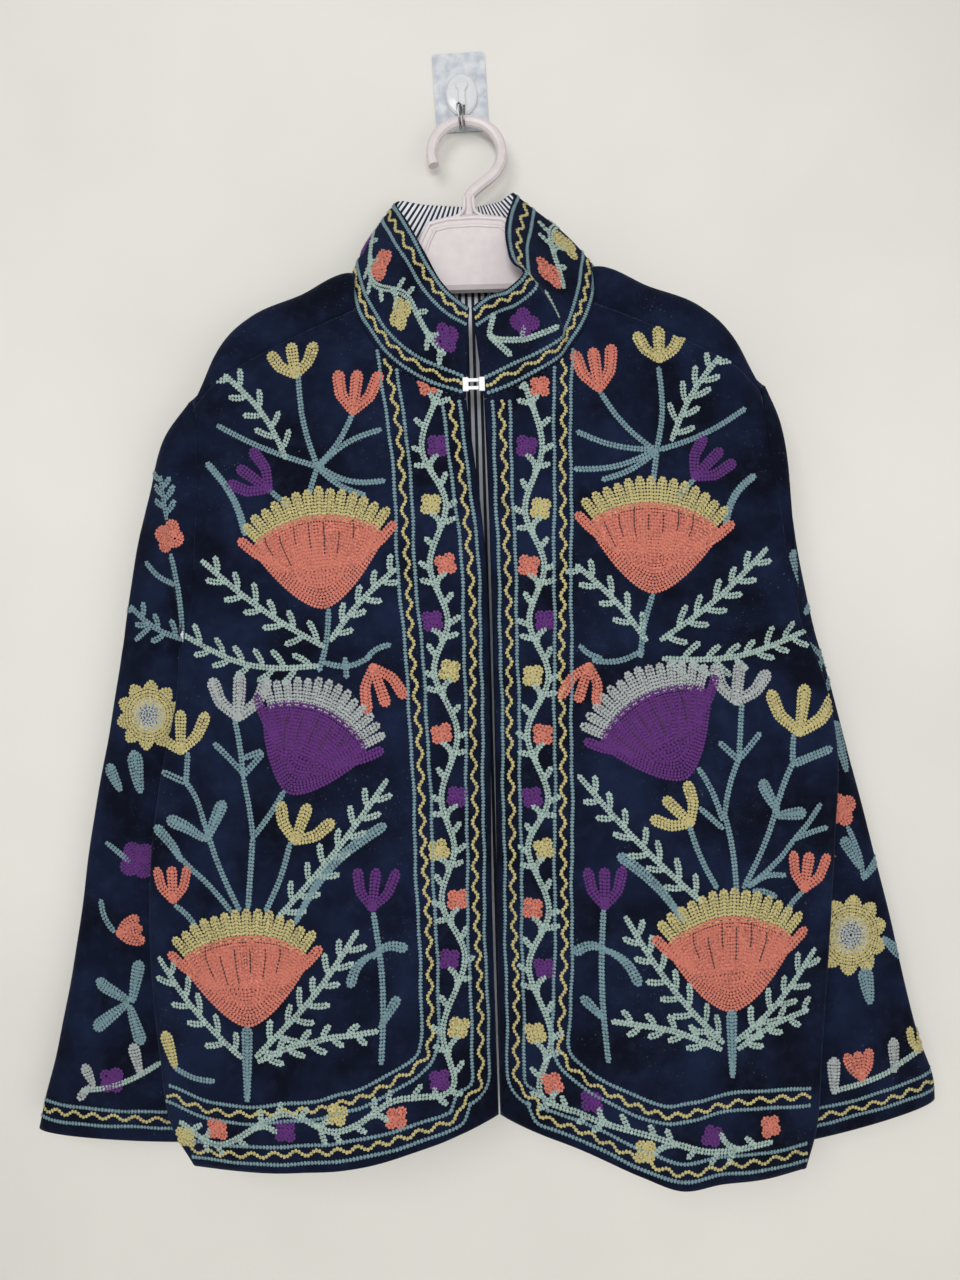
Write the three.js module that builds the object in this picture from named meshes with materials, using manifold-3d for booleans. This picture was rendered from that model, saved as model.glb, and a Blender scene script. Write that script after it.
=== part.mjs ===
// Embroidered velvet jacket with a stand collar, hanging by a plastic hanger from an adhesive wall hook.
// Millimetres, +Z up, +X to the wearer's left as it hangs, +Y into the wall. The wall is the plane y = 0 and
// the origin is the centre of the hook pad's back face. The garment is drawn about its own middle plane,
// GARMENT_X, with x measured outwards from it, so one table row serves both sides.

import * as THREE from 'three';
import * as BufferGeometryUtils from 'three/addons/utils/BufferGeometryUtils.js';
import Module from 'manifold-3d';

const wasm = await Module();
wasm.setup();

// ---------------------------------------------------------------- driving dimensions

const GARMENT_X = 7; // middle plane of the jacket beside the hook's
const VELVET = 2.2; // velvet with its interlining
const LINING = 0.8; // striped cotton
const SEAM_GAP = 0.3;
const BODY_MIDDLE_Y = -38; // half way between the fronts and the back

const CENTRE_HEM_Z = -866; // front edges at the hem
const CENTRE_NECK_Z = -290; // front edges at the collar seam
const UNDERARM_Z = -480;
const SHOULDER_POINT_Z = -274;
const SHOULDER_POINT = { x: 241, y: -38 };
const UNDERARM_Y = -59;
const ARMHOLE_FRONT_DEPTH = 15; // how far the armhole seam bows forwards, and back
const ARMHOLE_BACK_DEPTH = 31;
const SIDE_FOLD_RADIUS = 5.5; // soft fold where a front turns into the back
const UNDERARM_FOLD_RADIUS = 3.4;

const SIDES = {
  right: { sign: -1, underarmX: 249, bowFront: 15, bowBack: 20, sideHemZ: -897 },
  left: { sign: 1, underarmX: 262, bowFront: 10, bowBack: 20, sideHemZ: -911 },
};

// front edge, from the hem (at 0) to the collar seam (at 1): distance of each edge from the middle plane
const FRONT_EDGE = [
  { at: 0.0, right: -1.2, left: 2.4, y: -62 },
  { at: 0.3, right: -0.6, left: 4.6, y: -64 },
  { at: 0.55, right: -3.0, left: 6.4, y: -68 },
  { at: 0.8, right: -2.6, left: 6.8, y: -74 },
  { at: 1.0, right: 8.8, left: 5.4, y: -82 },
];

// side seam, from the hem (at 0) to the underarm (at 1)
const SIDE_SEAM = [
  { at: 0.0, right: 247, left: 249, y: -65 },
  { at: 0.07, right: 264, left: 259, y: -63 },
  { at: 0.2, right: 272, left: 265, y: -62 },
  { at: 0.4, right: 278, left: 273, y: -62 },
  { at: 0.6, right: 275, left: 280, y: -62 },
  { at: 0.76, right: 265, left: 285, y: -61 },
  { at: 0.9, right: 252, left: 277, y: -60 },
  { at: 1.0, right: 249, left: 262, y: UNDERARM_Y },
];

// neckline, from centre front (at 0) over the shoulder to centre back (at 1)
const NECK = [
  { at: 0.0, x: 9.2, y: -82, z: -289 },
  { at: 0.15, x: 38, y: -79, z: -277 },
  { at: 0.3, x: 65, y: -72, z: -259 },
  { at: 0.45, x: 85, y: -64, z: -234 },
  { at: 0.6, x: 98, y: -56, z: -206 },
  { at: 0.72, x: 102, y: -36, z: -171 },
  { at: 0.82, x: 86, y: -21, z: -174 },
  { at: 0.91, x: 50, y: -14, z: -178 },
  { at: 1.0, x: 0, y: -13, z: -179 },
];
const LEFT_NECK_SHIFT = 3.6;
const FORWARD_SEAM_AT = 0.6; // where the forward shoulder seam leaves the neckline

// top of the back panel, from centre back (at 0) to the armhole (at 1): the line where it starts to turn over
// the shoulder, how far it rises and reaches, and the angle it has turned by at its front edge
const SHOULDER = [
  { at: 0.0, x: 0, y: -13, z: -215, rise: 12, reach: 12, turn: 0 },
  { at: 0.15, x: 66, y: -13, z: -215, rise: 14, reach: 14, turn: 20 },
  { at: 0.28, x: 92, y: -13, z: -213, rise: 24, reach: 12, turn: 90 },
  { at: 0.4, x: 98, y: -13, z: -213, rise: 51, reach: 51, turn: 180 },
  { at: 0.6, x: 148, y: -12, z: -232, rise: 55, reach: 55, turn: 180 },
  { at: 0.76, x: 190, y: -12, z: -250, rise: 60, reach: 60, turn: 180 },
  { at: 0.88, x: 214, y: -14, z: -268, rise: 50, reach: 50, turn: 180 },
  { at: 1.0, x: 232, y: -22, z: -292, rise: 16, reach: 16, turn: 180 },
];
const NECK_COLUMNS = 0.4; // share of the half back whose top edge is the neckline

// forward shoulder seam, from the neckline (at 0) to the armhole (at 1)
const FORWARD_SEAM = [
  { at: 0.0, x: 98, y: -56, z: -206 },
  { at: 0.33, x: 144, y: -58, z: -226 },
  { at: 0.6, x: 185, y: -58, z: -246 },
  { at: 0.8, x: 212, y: -56, z: -261 },
  { at: 1.0, x: 236, y: -44, z: -280 },
];
const FORWARD_SEAM_ANGLE = 20; // where the shoulder seams meet the armhole, in degrees round it from its top
const BACK_LINE_ANGLE = -35;

// how a front hangs, from the hem (at 0) to the shoulder seam (at 1)
const FRONT_HANG = [
  { at: 0.0, belly: 33, sag: 7 },
  { at: 0.15, belly: 27, sag: 4 },
  { at: 0.3, belly: 21, sag: 2 },
  { at: 0.45, belly: 15, sag: 0 },
  { at: 0.6, belly: 9, sag: 0 },
  { at: 0.78, belly: 2, sag: 0 },
  { at: 1.0, belly: 0, sag: 0 },
];

// how the back hangs, from the hem (at 0) to the shoulder line (at 1)
const BACK_HANG = [
  { at: 0.0, centreY: -17, centreZ: -884, inner: 95, outer: 168 },
  { at: 0.3, centreY: -13, centreZ: -682, inner: 80, outer: 160 },
  { at: 0.6, centreY: -12, centreZ: -480, inner: 70, outer: 165 },
  { at: 0.75, centreY: -12, centreZ: -388, inner: 110, outer: 225 },
  { at: 1.0, centreY: -13, centreZ: -215, inner: 120, outer: 235 },
];

// largest folds of the fronts: across (0 edge, 1 side), half width, depth, and the height they fill
const FRONT_FOLDS = {
  right: [
    { across: 0.27, wide: 0.09, deep: 5, low: -0.1, high: 0.3 },
    { across: 0.63, wide: 0.08, deep: 6, low: -0.1, high: 0.42 },
    { across: 0.8, wide: 0.07, deep: 4, low: 0.3, high: 0.68 },
  ],
  left: [
    { across: 0.22, wide: 0.08, deep: 5, low: -0.1, high: 0.28 },
    { across: 0.7, wide: 0.09, deep: 7, low: -0.1, high: 0.45 },
    { across: 0.86, wide: 0.06, deep: 4, low: 0.32, high: 0.66 },
  ],
};
const BACK_FOLDS = [
  { across: -0.36, wide: 0.07, deep: 5, low: -0.1, high: 0.5 },
  { across: 0.08, wide: 0.06, deep: 3, low: -0.1, high: 0.36 },
  { across: 0.33, wide: 0.07, deep: 6, low: -0.1, high: 0.55 },
];

// sleeve rings, from the armhole (at 0) to the cuff (at 1): outer edge, inner edge, and depth each way
const SLEEVE_RINGS = {
  right: [
    { at: 0.08, outX: 262, outY: -37, outZ: -303, inX: 245, inY: -49, inZ: -487, front: 19, back: 24 },
    { at: 0.17, outX: 277, outY: -35, outZ: -352, inX: 237, inY: -44, inZ: -499, front: 16, back: 22 },
    { at: 0.26, outX: 291, outY: -33, outZ: -402, inX: 227, inY: -41, inZ: -514, front: 15, back: 21 },
    { at: 0.36, outX: 303, outY: -31, outZ: -470, inX: 212, inY: -38, inZ: -540, front: 14, back: 20 },
    { at: 0.46, outX: 316, outY: -29, outZ: -535, inX: 203, inY: -35, inZ: -590, front: 15, back: 19 },
    { at: 0.58, outX: 334, outY: -28, outZ: -622, inX: 200, inY: -33, inZ: -655, front: 16, back: 18 },
    { at: 0.72, outX: 351, outY: -27, outZ: -722, inX: 204, inY: -31, inZ: -740, front: 17, back: 18 },
    { at: 0.86, outX: 370, outY: -27, outZ: -815, inX: 213, inY: -30, inZ: -822, front: 18, back: 18 },
    { at: 0.95, outX: 383, outY: -26, outZ: -861, inX: 221, inY: -29, inZ: -870, front: 18, back: 18 },
    { at: 1.0, outX: 388, outY: -26, outZ: -882, inX: 224, inY: -29, inZ: -893, front: 18, back: 18 },
  ],
  left: [
    { at: 0.08, outX: 252, outY: -37, outZ: -305, inX: 258, inY: -49, inZ: -488, front: 18, back: 24 },
    { at: 0.17, outX: 258, outY: -36, outZ: -354, inX: 250, inY: -44, inZ: -500, front: 15, back: 22 },
    { at: 0.26, outX: 265, outY: -34, outZ: -410, inX: 240, inY: -41, inZ: -516, front: 14, back: 21 },
    { at: 0.36, outX: 276, outY: -32, outZ: -471, inX: 226, inY: -38, inZ: -542, front: 14, back: 20 },
    { at: 0.46, outX: 291, outY: -30, outZ: -528, inX: 214, inY: -35, inZ: -590, front: 15, back: 19 },
    { at: 0.58, outX: 313, outY: -28, outZ: -618, inX: 206, inY: -33, inZ: -655, front: 16, back: 18 },
    { at: 0.72, outX: 337, outY: -27, outZ: -722, inX: 208, inY: -31, inZ: -740, front: 17, back: 18 },
    { at: 0.86, outX: 356, outY: -27, outZ: -818, inX: 214, inY: -30, inZ: -828, front: 18, back: 18 },
    { at: 0.95, outX: 370, outY: -26, outZ: -860, inX: 220, inY: -29, inZ: -884, front: 18, back: 18 },
    { at: 1.0, outX: 371, outY: -26, outZ: -878, inX: 222, inY: -29, inZ: -912, front: 18, back: 18 },
  ],
};
const UNDERARM_EASE = 4; // the sleeve's underarm starts this far behind the body's

// top edge of the collar, from its front end (at 0) to centre back (at 1)
const COLLAR_TOP = {
  right: [
    { at: 0.0, x: 4.6, y: -86, z: -218 },
    { at: 0.14, x: 14.7, y: -84, z: -209 },
    { at: 0.28, x: 27.6, y: -76, z: -191 },
    { at: 0.42, x: 38.5, y: -64, z: -166 },
    { at: 0.58, x: 55, y: -42, z: -128 },
    { at: 0.7, x: 65, y: -17, z: -102 },
    { at: 0.85, x: 40, y: -9, z: -102 },
    { at: 1.0, x: 0, y: -8, z: -105 },
  ],
  left: [
    { at: 0.0, x: -2.6, y: -86, z: -218 },
    { at: 0.12, x: 9, y: -84, z: -209 },
    { at: 0.24, x: 25, y: -80, z: -202 },
    { at: 0.34, x: 36, y: -80, z: -192 },
    { at: 0.48, x: 29, y: -61, z: -165 },
    { at: 0.6, x: 28, y: -40, z: -132 },
    { at: 0.7, x: 37, y: -15, z: -97 },
    { at: 0.85, x: 24, y: -9, z: -101 },
    { at: 1.0, x: 0, y: -8, z: -105 },
  ],
};
const COLLAR_CROWN = { right: 5, left: 6 }; // outward curve of the collar between its seam and its top edge
const COLLAR_FOLD = { at: 0.36, lean: -0.05, wide: 0.045, deep: 7 }; // crease across the left half
const COLLAR_TUCK = { at: 0.26, lean: -0.06, wide: 0.04, deep: -4 };

const HANGER = {
  lean: 6.5, // degrees out from the wall
  rodRadius: 4.7,
  ringRadius: 30,
  ringX: -3.3,
  hangY: -18.5,
  hangZ: -38.7, // underside of the ring where it sits on the wire
  tipAngle: 200,
  leaveAngle: -52,
  stemX: -2.5,
  thick: 12,
  armDepth: 15,
};

const PAD = { width: 46, height: 69, thick: 1.2, corner: 3, tilt: 2 };
const BASE = { width: 28, height: 37, thick: 5, z: -3, x: 1 };
const ARM = { width: 6, thick: 4, top: 5, bottom: -15, knob: 5 };
const WIRE = { radius: 0.9, spread: 1.7 };
// one side of the doubled wire, from the arm down behind the ring, under it and up in front
const WIRE_ROUTE = [
  { x: 0, y: -7.6, z: -15.3 },
  { x: 0, y: -9.2, z: -24 },
  { x: 0, y: -9.6, z: -33 },
  { x: 0, y: -12, z: -38.6 },
  { x: 0, y: -18.5, z: -40.2 },
  { x: -0.4, y: -25, z: -38.6 },
  { x: -1.4, y: -28, z: -33 },
  { x: -2.6, y: -28.6, z: -26.5 },
];
const CLASP = { z: -278, x: -2.6, y: -84.2, width: 17.5, height: 11, thick: 1.6, plate: 4.6, bar: 2.6 };

// ---------------------------------------------------------------- curves from tables

const V = (x, y, z) => new THREE.Vector3(x, y, z);
const lerp = THREE.MathUtils.lerp;
const clamp01 = (t) => Math.min(1, Math.max(0, t));
const radians = THREE.MathUtils.degToRad;

/** Value of a column at a place between rows, on a smooth curve through the rows. */
function column(rows, key, at) {
  let k = 0;
  while (k < rows.length - 2 && at > rows[k + 1].at) k += 1;
  const [a, b] = [rows[k], rows[k + 1]];
  const slope = (p, q) => (q[key] - p[key]) / (q.at - p.at);
  const middle = slope(a, b);
  const before = k > 0 ? (slope(rows[k - 1], a) + middle) / 2 : middle;
  const after = k < rows.length - 2 ? (slope(b, rows[k + 2]) + middle) / 2 : middle;
  const span = b.at - a.at;
  const t = clamp01((at - a.at) / span);
  const t2 = t * t;
  const t3 = t2 * t;
  return (2 * t3 - 3 * t2 + 1) * a[key] + (t3 - 2 * t2 + t) * span * before
    + (3 * t2 - 2 * t3) * b[key] + (t3 - t2) * span * after;
}

const place = (rows, at) => V(column(rows, 'x', at), column(rows, 'y', at), column(rows, 'z', at));

const steps = (count) => Array.from({ length: count + 1 }, (_, k) => k / count);
const spread = (from, to, count) => steps(count).slice(1).map((k) => lerp(from, to, k));

/** Straight runs between the stops of a curve, so that both pieces of a seam have the same edge. */
function chord(curve, stops, at) {
  let k = 0;
  while (k < stops.length - 2 && at > stops[k + 1]) k += 1;
  const t = (at - stops[k]) / (stops[k + 1] - stops[k]);
  return curve(stops[k]).lerp(curve(stops[k + 1]), clamp01(t));
}

/** Soft trough depth of the listed folds at a place on a panel. */
function foldDepth(folds, across, up) {
  let depth = 0;
  for (const fold of folds) {
    const offset = (across - fold.across) / fold.wide;
    const along = clamp01((up - fold.low) / (fold.high - fold.low));
    depth += fold.deep * Math.exp(-offset * offset) * Math.sin(Math.PI * along) ** 2;
  }
  return depth;
}

// ---------------------------------------------------------------- seams shared by the pieces

/** Armhole seam; angle is 0 at the shoulder point, forwards to 180 at the underarm, and back at -180. */
function armhole(side, angle) {
  const c = Math.cos(radians(angle));
  const s = Math.sin(radians(angle));
  const down = (1 - c) / 2;
  const bow = s > 0 ? side.bowFront * s : -side.bowBack * s;
  const depth = s > 0 ? -ARMHOLE_FRONT_DEPTH * s : -ARMHOLE_BACK_DEPTH * s;
  return V(
    lerp(SHOULDER_POINT.x, side.underarmX, down) - bow,
    lerp(SHOULDER_POINT.y, UNDERARM_Y, down) + depth,
    lerp(SHOULDER_POINT_Z, UNDERARM_Z, down),
  );
}

/** Direction away from the armhole's middle, in its own plane. */
function armholeNormal(angle) {
  const half = (SHOULDER_POINT_Z - UNDERARM_Z) / 2;
  const c = Math.cos(radians(angle));
  const s = Math.sin(radians(angle));
  const depth = s > 0 ? ARMHOLE_FRONT_DEPTH : ARMHOLE_BACK_DEPTH;
  return V(0, -s / depth, c / half).normalize();
}

/** Armhole angle at a height, on the front branch. */
function armholeAngle(z) {
  const half = (SHOULDER_POINT_Z - UNDERARM_Z) / 2;
  const middle = (SHOULDER_POINT_Z + UNDERARM_Z) / 2;
  return THREE.MathUtils.radToDeg(Math.acos(THREE.MathUtils.clamp((z - middle) / half, -1, 1)));
}

/** Neckline on one side; the left front's edge stands nearer the middle at its foot. */
function neckline(name, at) {
  const shift = name === 'left' ? LEFT_NECK_SHIFT : 0;
  const curve = (stop) => place(NECK, stop).add(V(-shift * Math.max(0, 1 - stop / 0.3), 0, 0));
  return chord(curve, NECK_STOPS, at);
}

const forwardSeam = (at) => chord((stop) => place(FORWARD_SEAM, stop), FORWARD_STOPS, at);

function sideSeam(name, at) {
  const side = SIDES[name];
  return V(column(SIDE_SEAM, name, at), column(SIDE_SEAM, 'y', at), lerp(side.sideHemZ, UNDERARM_Z, at));
}

// ---------------------------------------------------------------- body panels

const UNDERARM_ROW = 0.53; // share of a front's height below the underarm
const NECK_ROW = 0.78; // share of a front's height below the collar seam
const BACK_UNDERARM_ROW = 0.6; // share of the back's height below the underarm, up to its shoulder line
const BACK_LINE_ROW = 0.76; // share of the back's rows below its shoulder line
const FRONT_ROUND = 0.93; // across a front, where it starts to turn at the side seam
const FRONT_COLUMNS = [0, ...spread(0, FRONT_ROUND, 11), 0.965, 1];
const FORWARD_STOPS = FRONT_COLUMNS.filter((_, k) => k % 2 === 0 || k > 10).filter((at) => at !== 0.965);
const BACK_ROUND = lerp(NECK_COLUMNS, 1, FRONT_COLUMNS[10]);
const NECK_STEPS = [0, 0.07, 0.15, 0.22, 0.28, 0.34, NECK_COLUMNS]; // columns of the back under the neckline
const NECK_STOPS = [0, ...spread(0, FORWARD_SEAM_AT, 5), ...NECK_STEPS.map((u) => 1 - u).reverse().slice(1)];
const UPPER_SIDE = [
  { at: UNDERARM_ROW, z: UNDERARM_Z },
  { at: NECK_ROW, z: -325 },
  { at: 1, z: armhole(SIDES.right, FORWARD_SEAM_ANGLE).z },
];

/** Depth of the turn at the side seam, fading out up the armhole. */
function foldRadius(at, underarmAt) {
  if (at > underarmAt) return lerp(UNDERARM_FOLD_RADIUS, 0, clamp01((at - underarmAt) / 0.07));
  return lerp(SIDE_FOLD_RADIUS, UNDERARM_FOLD_RADIUS, clamp01((at / underarmAt - 0.8) / 0.2));
}

const turnAngle = (u, round) => (Math.max(0, u - round) / (1 - round)) * (Math.PI / 2);

function frontOuterEdge(name, v) {
  if (v <= UNDERARM_ROW) return sideSeam(name, v / UNDERARM_ROW);
  return armhole(SIDES[name], armholeAngle(column(UPPER_SIDE, 'z', v)));
}

function frontInnerEdge(name, v) {
  if (v > NECK_ROW) {
    const rim = neckline(name, (FORWARD_SEAM_AT * (v - NECK_ROW)) / (1 - NECK_ROW));
    return rim.add(V(SEAM_GAP, 0, -SEAM_GAP));
  }
  const at = v / NECK_ROW;
  const z = lerp(CENTRE_HEM_Z, CENTRE_NECK_Z, at);
  return V(column(FRONT_EDGE, name, at), column(FRONT_EDGE, 'y', at), z);
}

/** A front before its top edge is drawn to the shoulder seam. */
function frontHang(name, u, v) {
  const inner = frontInnerEdge(name, v);
  const outer = frontOuterEdge(name, v);
  const radius = foldRadius(v, UNDERARM_ROW);
  const turn = turnAngle(u, FRONT_ROUND);
  const across = Math.min(u, FRONT_ROUND) / FRONT_ROUND;
  const swell = Math.sin(Math.PI * across);
  const belly = column(FRONT_HANG, 'belly', v) * Math.sin(Math.PI * across ** 0.85);
  const fold = foldDepth(FRONT_FOLDS[name], across, v) * swell;
  return V(
    lerp(inner.x, outer.x - SIDE_FOLD_RADIUS, across) + SIDE_FOLD_RADIUS * Math.sin(turn),
    lerp(inner.y, outer.y - radius, across) - belly + fold + radius * (1 - Math.cos(turn)),
    lerp(inner.z, outer.z, across) - column(FRONT_HANG, 'sag', v) * swell,
  );
}

/** Outer face of a front: u from the front edge (0) to the side (1), v from the hem to the shoulder seam. */
function frontPoint(name, u, v) {
  const p = frontHang(name, u, v);
  const draw = THREE.MathUtils.smoothstep(v, 0.86, 1);
  if (draw > 0) {
    const seam = forwardSeam(u).add(V(0, 0, -SEAM_GAP));
    p.addScaledVector(seam.sub(frontHang(name, u, 1)), draw);
  }
  p.x *= SIDES[name].sign;
  return p;
}

function backOuterEdge(name, v) {
  if (v <= BACK_UNDERARM_ROW) return sideSeam(name, v / BACK_UNDERARM_ROW);
  const angle = lerp(-180, BACK_LINE_ANGLE, (v - BACK_UNDERARM_ROW) / (1 - BACK_UNDERARM_ROW));
  return armhole(SIDES[name], angle);
}

/** Back below its shoulder line: u from centre back (0) to the side (1), v from the hem to the line. */
function backHang(name, u, v) {
  const outer = backOuterEdge(name, v);
  const radius = foldRadius(v, BACK_UNDERARM_ROW);
  const turn = turnAngle(u, BACK_ROUND);
  const across = Math.min(u, BACK_ROUND) / BACK_ROUND;
  const line = place(SHOULDER, u);
  const lean = THREE.MathUtils.smoothstep(v, 0.3, 1) * (1 - across ** 6);
  const flatX = across * (outer.x - SIDE_FOLD_RADIUS) + SIDE_FOLD_RADIUS * Math.sin(turn);
  const x = lerp(flatX, line.x, lean);
  const step = THREE.MathUtils.smoothstep(x, column(BACK_HANG, 'inner', v), column(BACK_HANG, 'outer', v));
  const fold = foldDepth(BACK_FOLDS, across * SIDES[name].sign, v) * (1 - step);
  const bowl = across ** 2;
  const sag = line.z - lerp(SHOULDER[0].z, SHOULDER.at(-1).z, bowl);
  const rise = sag * THREE.MathUtils.smoothstep(v, 0.6, 1) * (1 - across ** 6);
  const y = lerp(column(BACK_HANG, 'centreY', v), outer.y + radius, step) - fold;
  return V(x, y - radius * (1 - Math.cos(turn)), lerp(column(BACK_HANG, 'centreZ', v), outer.z, bowl) + rise);
}

/** Back over the shoulder, from its shoulder line (w = 0) to the neckline or the forward seam (w = 1). */
function backTurn(name, u, w) {
  if (u === 1) return armhole(SIDES[name], lerp(BACK_LINE_ANGLE, FORWARD_SEAM_ANGLE, w));
  const start = backHang(name, u, 1);
  const atNeck = u <= NECK_COLUMNS;
  const end = atNeck ? neckline(name, 1 - u) : forwardSeam((u - NECK_COLUMNS) / (1 - NECK_COLUMNS));
  if (atNeck) end.add(V(SEAM_GAP * Math.sin(Math.PI * u), 0, -SEAM_GAP));
  const turn = radians(column(SHOULDER, 'turn', u));
  const up = start.clone().add(V(0, 0, column(SHOULDER, 'rise', u)));
  const reach = column(SHOULDER, 'reach', u);
  const over = end.clone().sub(V(0, -Math.sin(turn) * reach, Math.cos(turn) * reach));
  return new THREE.CubicBezierCurve3(start, up, over, end).getPoint(w);
}

/** Outer face of the back: u from the right side (-1) to the left (1), v from the hem over the shoulder. */
function backPoint(u, v) {
  const name = u < 0 ? 'right' : 'left';
  const half = Math.abs(u);
  const lower = v <= BACK_LINE_ROW;
  const w = (v - BACK_LINE_ROW) / (1 - BACK_LINE_ROW);
  const p = lower ? backHang(name, half, v / BACK_LINE_ROW) : backTurn(name, half, w);
  p.x *= SIDES[name].sign;
  return p;
}

const SHOULDER_SEAM_FACES = V(0, -1, 0.1).normalize();

/** Edges that are sewn to one another face the same way. */
function frontSeamNormal(name, u, v) {
  if (v === 1 && u < 1) return SHOULDER_SEAM_FACES.clone();
  if (u < 1) return null;
  if (v <= UNDERARM_ROW) return V(SIDES[name].sign, 0, 0);
  return armholeNormal(armholeAngle(column(UPPER_SIDE, 'z', v)));
}

function backSeamNormal(u, v) {
  const half = Math.abs(u);
  if (v === 1 && half >= NECK_COLUMNS && half < 1) return SHOULDER_SEAM_FACES.clone();
  if (half < 1) return null;
  if (v <= BACK_LINE_ROW * BACK_UNDERARM_ROW) return V(u, 0, 0);
  if (v > BACK_LINE_ROW) {
    const w = (v - BACK_LINE_ROW) / (1 - BACK_LINE_ROW);
    return armholeNormal(lerp(BACK_LINE_ANGLE, FORWARD_SEAM_ANGLE, w));
  }
  const above = (v / BACK_LINE_ROW - BACK_UNDERARM_ROW) / (1 - BACK_UNDERARM_ROW);
  return armholeNormal(lerp(-180, BACK_LINE_ANGLE, above));
}

// ---------------------------------------------------------------- sleeves and collar

/** Outer face of a sleeve: angle round the ring from its outer edge (0) forwards, at from armhole to cuff. */
function sleevePoint(name, angle, at) {
  const side = SIDES[name];
  const first = {
    at: 0, outX: SHOULDER_POINT.x, outY: SHOULDER_POINT.y, outZ: SHOULDER_POINT_Z,
    inX: side.underarmX, inY: UNDERARM_Y, inZ: UNDERARM_Z,
    front: ARMHOLE_FRONT_DEPTH, back: ARMHOLE_BACK_DEPTH,
  };
  const rows = [first, ...SLEEVE_RINGS[name]];
  const get = (key) => column(rows, key, at);
  const c = Math.cos(radians(angle));
  const s = Math.sin(radians(angle));
  const down = (1 - c) / 2;
  const flat = lerp(1, 0.72, THREE.MathUtils.smoothstep(at, 0, 0.4));
  const shape = Math.sign(s) * Math.abs(s) ** flat;
  const bow = (s > 0 ? side.bowFront : side.bowBack) * Math.abs(s) * (1 - clamp01(at / 0.1)) ** 2;
  const ease = UNDERARM_EASE * down ** 3 * (1 - clamp01(at / 0.1));
  const depth = s > 0 ? get('front') : get('back');
  return V(
    (lerp(get('outX'), get('inX'), down) - bow + SEAM_GAP / 2) * side.sign,
    lerp(get('outY'), get('inY'), down) - depth * shape + ease,
    lerp(get('outZ'), get('inZ'), down),
  );
}

/** Crease across one half of the collar: a ridge with a tuck beside it, leaning with height. */
function collarCrease(name, at, up) {
  if (name !== 'left') return 0;
  let push = 0;
  for (const crease of [COLLAR_FOLD, COLLAR_TUCK]) {
    const offset = (at - crease.at - crease.lean * (1 - up)) / crease.wide;
    push += crease.deep * Math.exp(-offset * offset);
  }
  return push;
}

/** Level direction out of the neck. */
const outOfNeck = (p) => V(p.x, (p.y - BODY_MIDDLE_Y) * 1.6, 0).normalize();

/** Outer face of the collar: t from the right front end (-1) round the back (0) to the left end (1). */
function collarPoint(t, up) {
  const name = t < 0 ? 'right' : 'left';
  const at = 1 - Math.abs(t);
  const base = neckline(name, at);
  const top = place(COLLAR_TOP[name], at);
  const p = base.lerp(top, up);
  const out = outOfNeck(p);
  const swell = COLLAR_CROWN[name] * Math.sin(Math.PI * up) * Math.min(1, at * 6);
  p.addScaledVector(out, swell + collarCrease(name, at, up) * Math.min(1, up * 3 + 0.2));
  p.x *= SIDES[name].sign;
  return p;
}

// ---------------------------------------------------------------- solids

/** Unit normal of a point function, by small steps that stay inside its limits. */
function normalOf(point, u, v, limits) {
  const e = 0.004;
  const du = point(Math.min(u + e, limits.u[1]), v).sub(point(Math.max(u - e, limits.u[0]), v));
  const dv = point(u, Math.min(v + e, limits.v[1])).sub(point(u, Math.max(v - e, limits.v[0])));
  return du.cross(dv).normalize();
}

const none = () => null;

/**
 * Closed wall on a point function. turn is 1 where u crossed with v points out; seam gives an edge's normal
 * and shift moves an edge back from its seam. spare thickens the wall on both faces.
 */
function wall(point, us, vs, thick, options, spare = 0) {
  const { turn, seam = none, shift = none, round = false, inset = 0, limits: own } = options;
  const limits = own ?? { u: [us[0], us.at(-1)], v: [vs[0], vs.at(-1)] };
  const columns = round ? us.slice(0, -1) : us;
  const faces = [[], []];
  for (const v of vs) {
    for (const u of columns) {
      const p = point(u, v);
      const wrap = round ? { u: [-Infinity, Infinity], v: limits.v } : limits;
      const n = seam(u, v) ?? normalOf(point, u, v, wrap).multiplyScalar(turn);
      p.add(shift(u, v) ?? V(0, 0, 0));
      faces[0].push(p.clone().addScaledVector(n, spare - inset));
      faces[1].push(p.clone().addScaledVector(n, -inset - thick - spare));
    }
  }
  const width = columns.length;
  const rows = vs.length;
  const layer = width * rows;
  const index = [];
  const quad = (a, b, c, d) => index.push(a, b, c, a, c, d);
  const cell = (j, i) => j * width + (i % width);
  const spans = round ? width : width - 1;
  for (let j = 0; j < rows - 1; j += 1) {
    for (let i = 0; i < spans; i += 1) {
      const [a, b, c, d] = [cell(j, i), cell(j, i + 1), cell(j + 1, i + 1), cell(j + 1, i)];
      quad(a, b, c, d);
      quad(layer + d, layer + c, layer + b, layer + a);
    }
  }
  for (let i = 0; i < spans; i += 1) {
    const [a, b] = [cell(0, i), cell(0, i + 1)];
    const [c, d] = [cell(rows - 1, i), cell(rows - 1, i + 1)];
    quad(layer + a, layer + b, b, a);
    quad(c, d, layer + d, layer + c);
  }
  for (let j = 0; !round && j < rows - 1; j += 1) {
    const [a, b] = [cell(j, 0), cell(j + 1, 0)];
    const [c, d] = [cell(j, width - 1), cell(j + 1, width - 1)];
    quad(a, b, layer + b, layer + a);
    quad(layer + c, layer + d, d, c);
  }
  return closed(faces.flat(), index);
}

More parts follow.
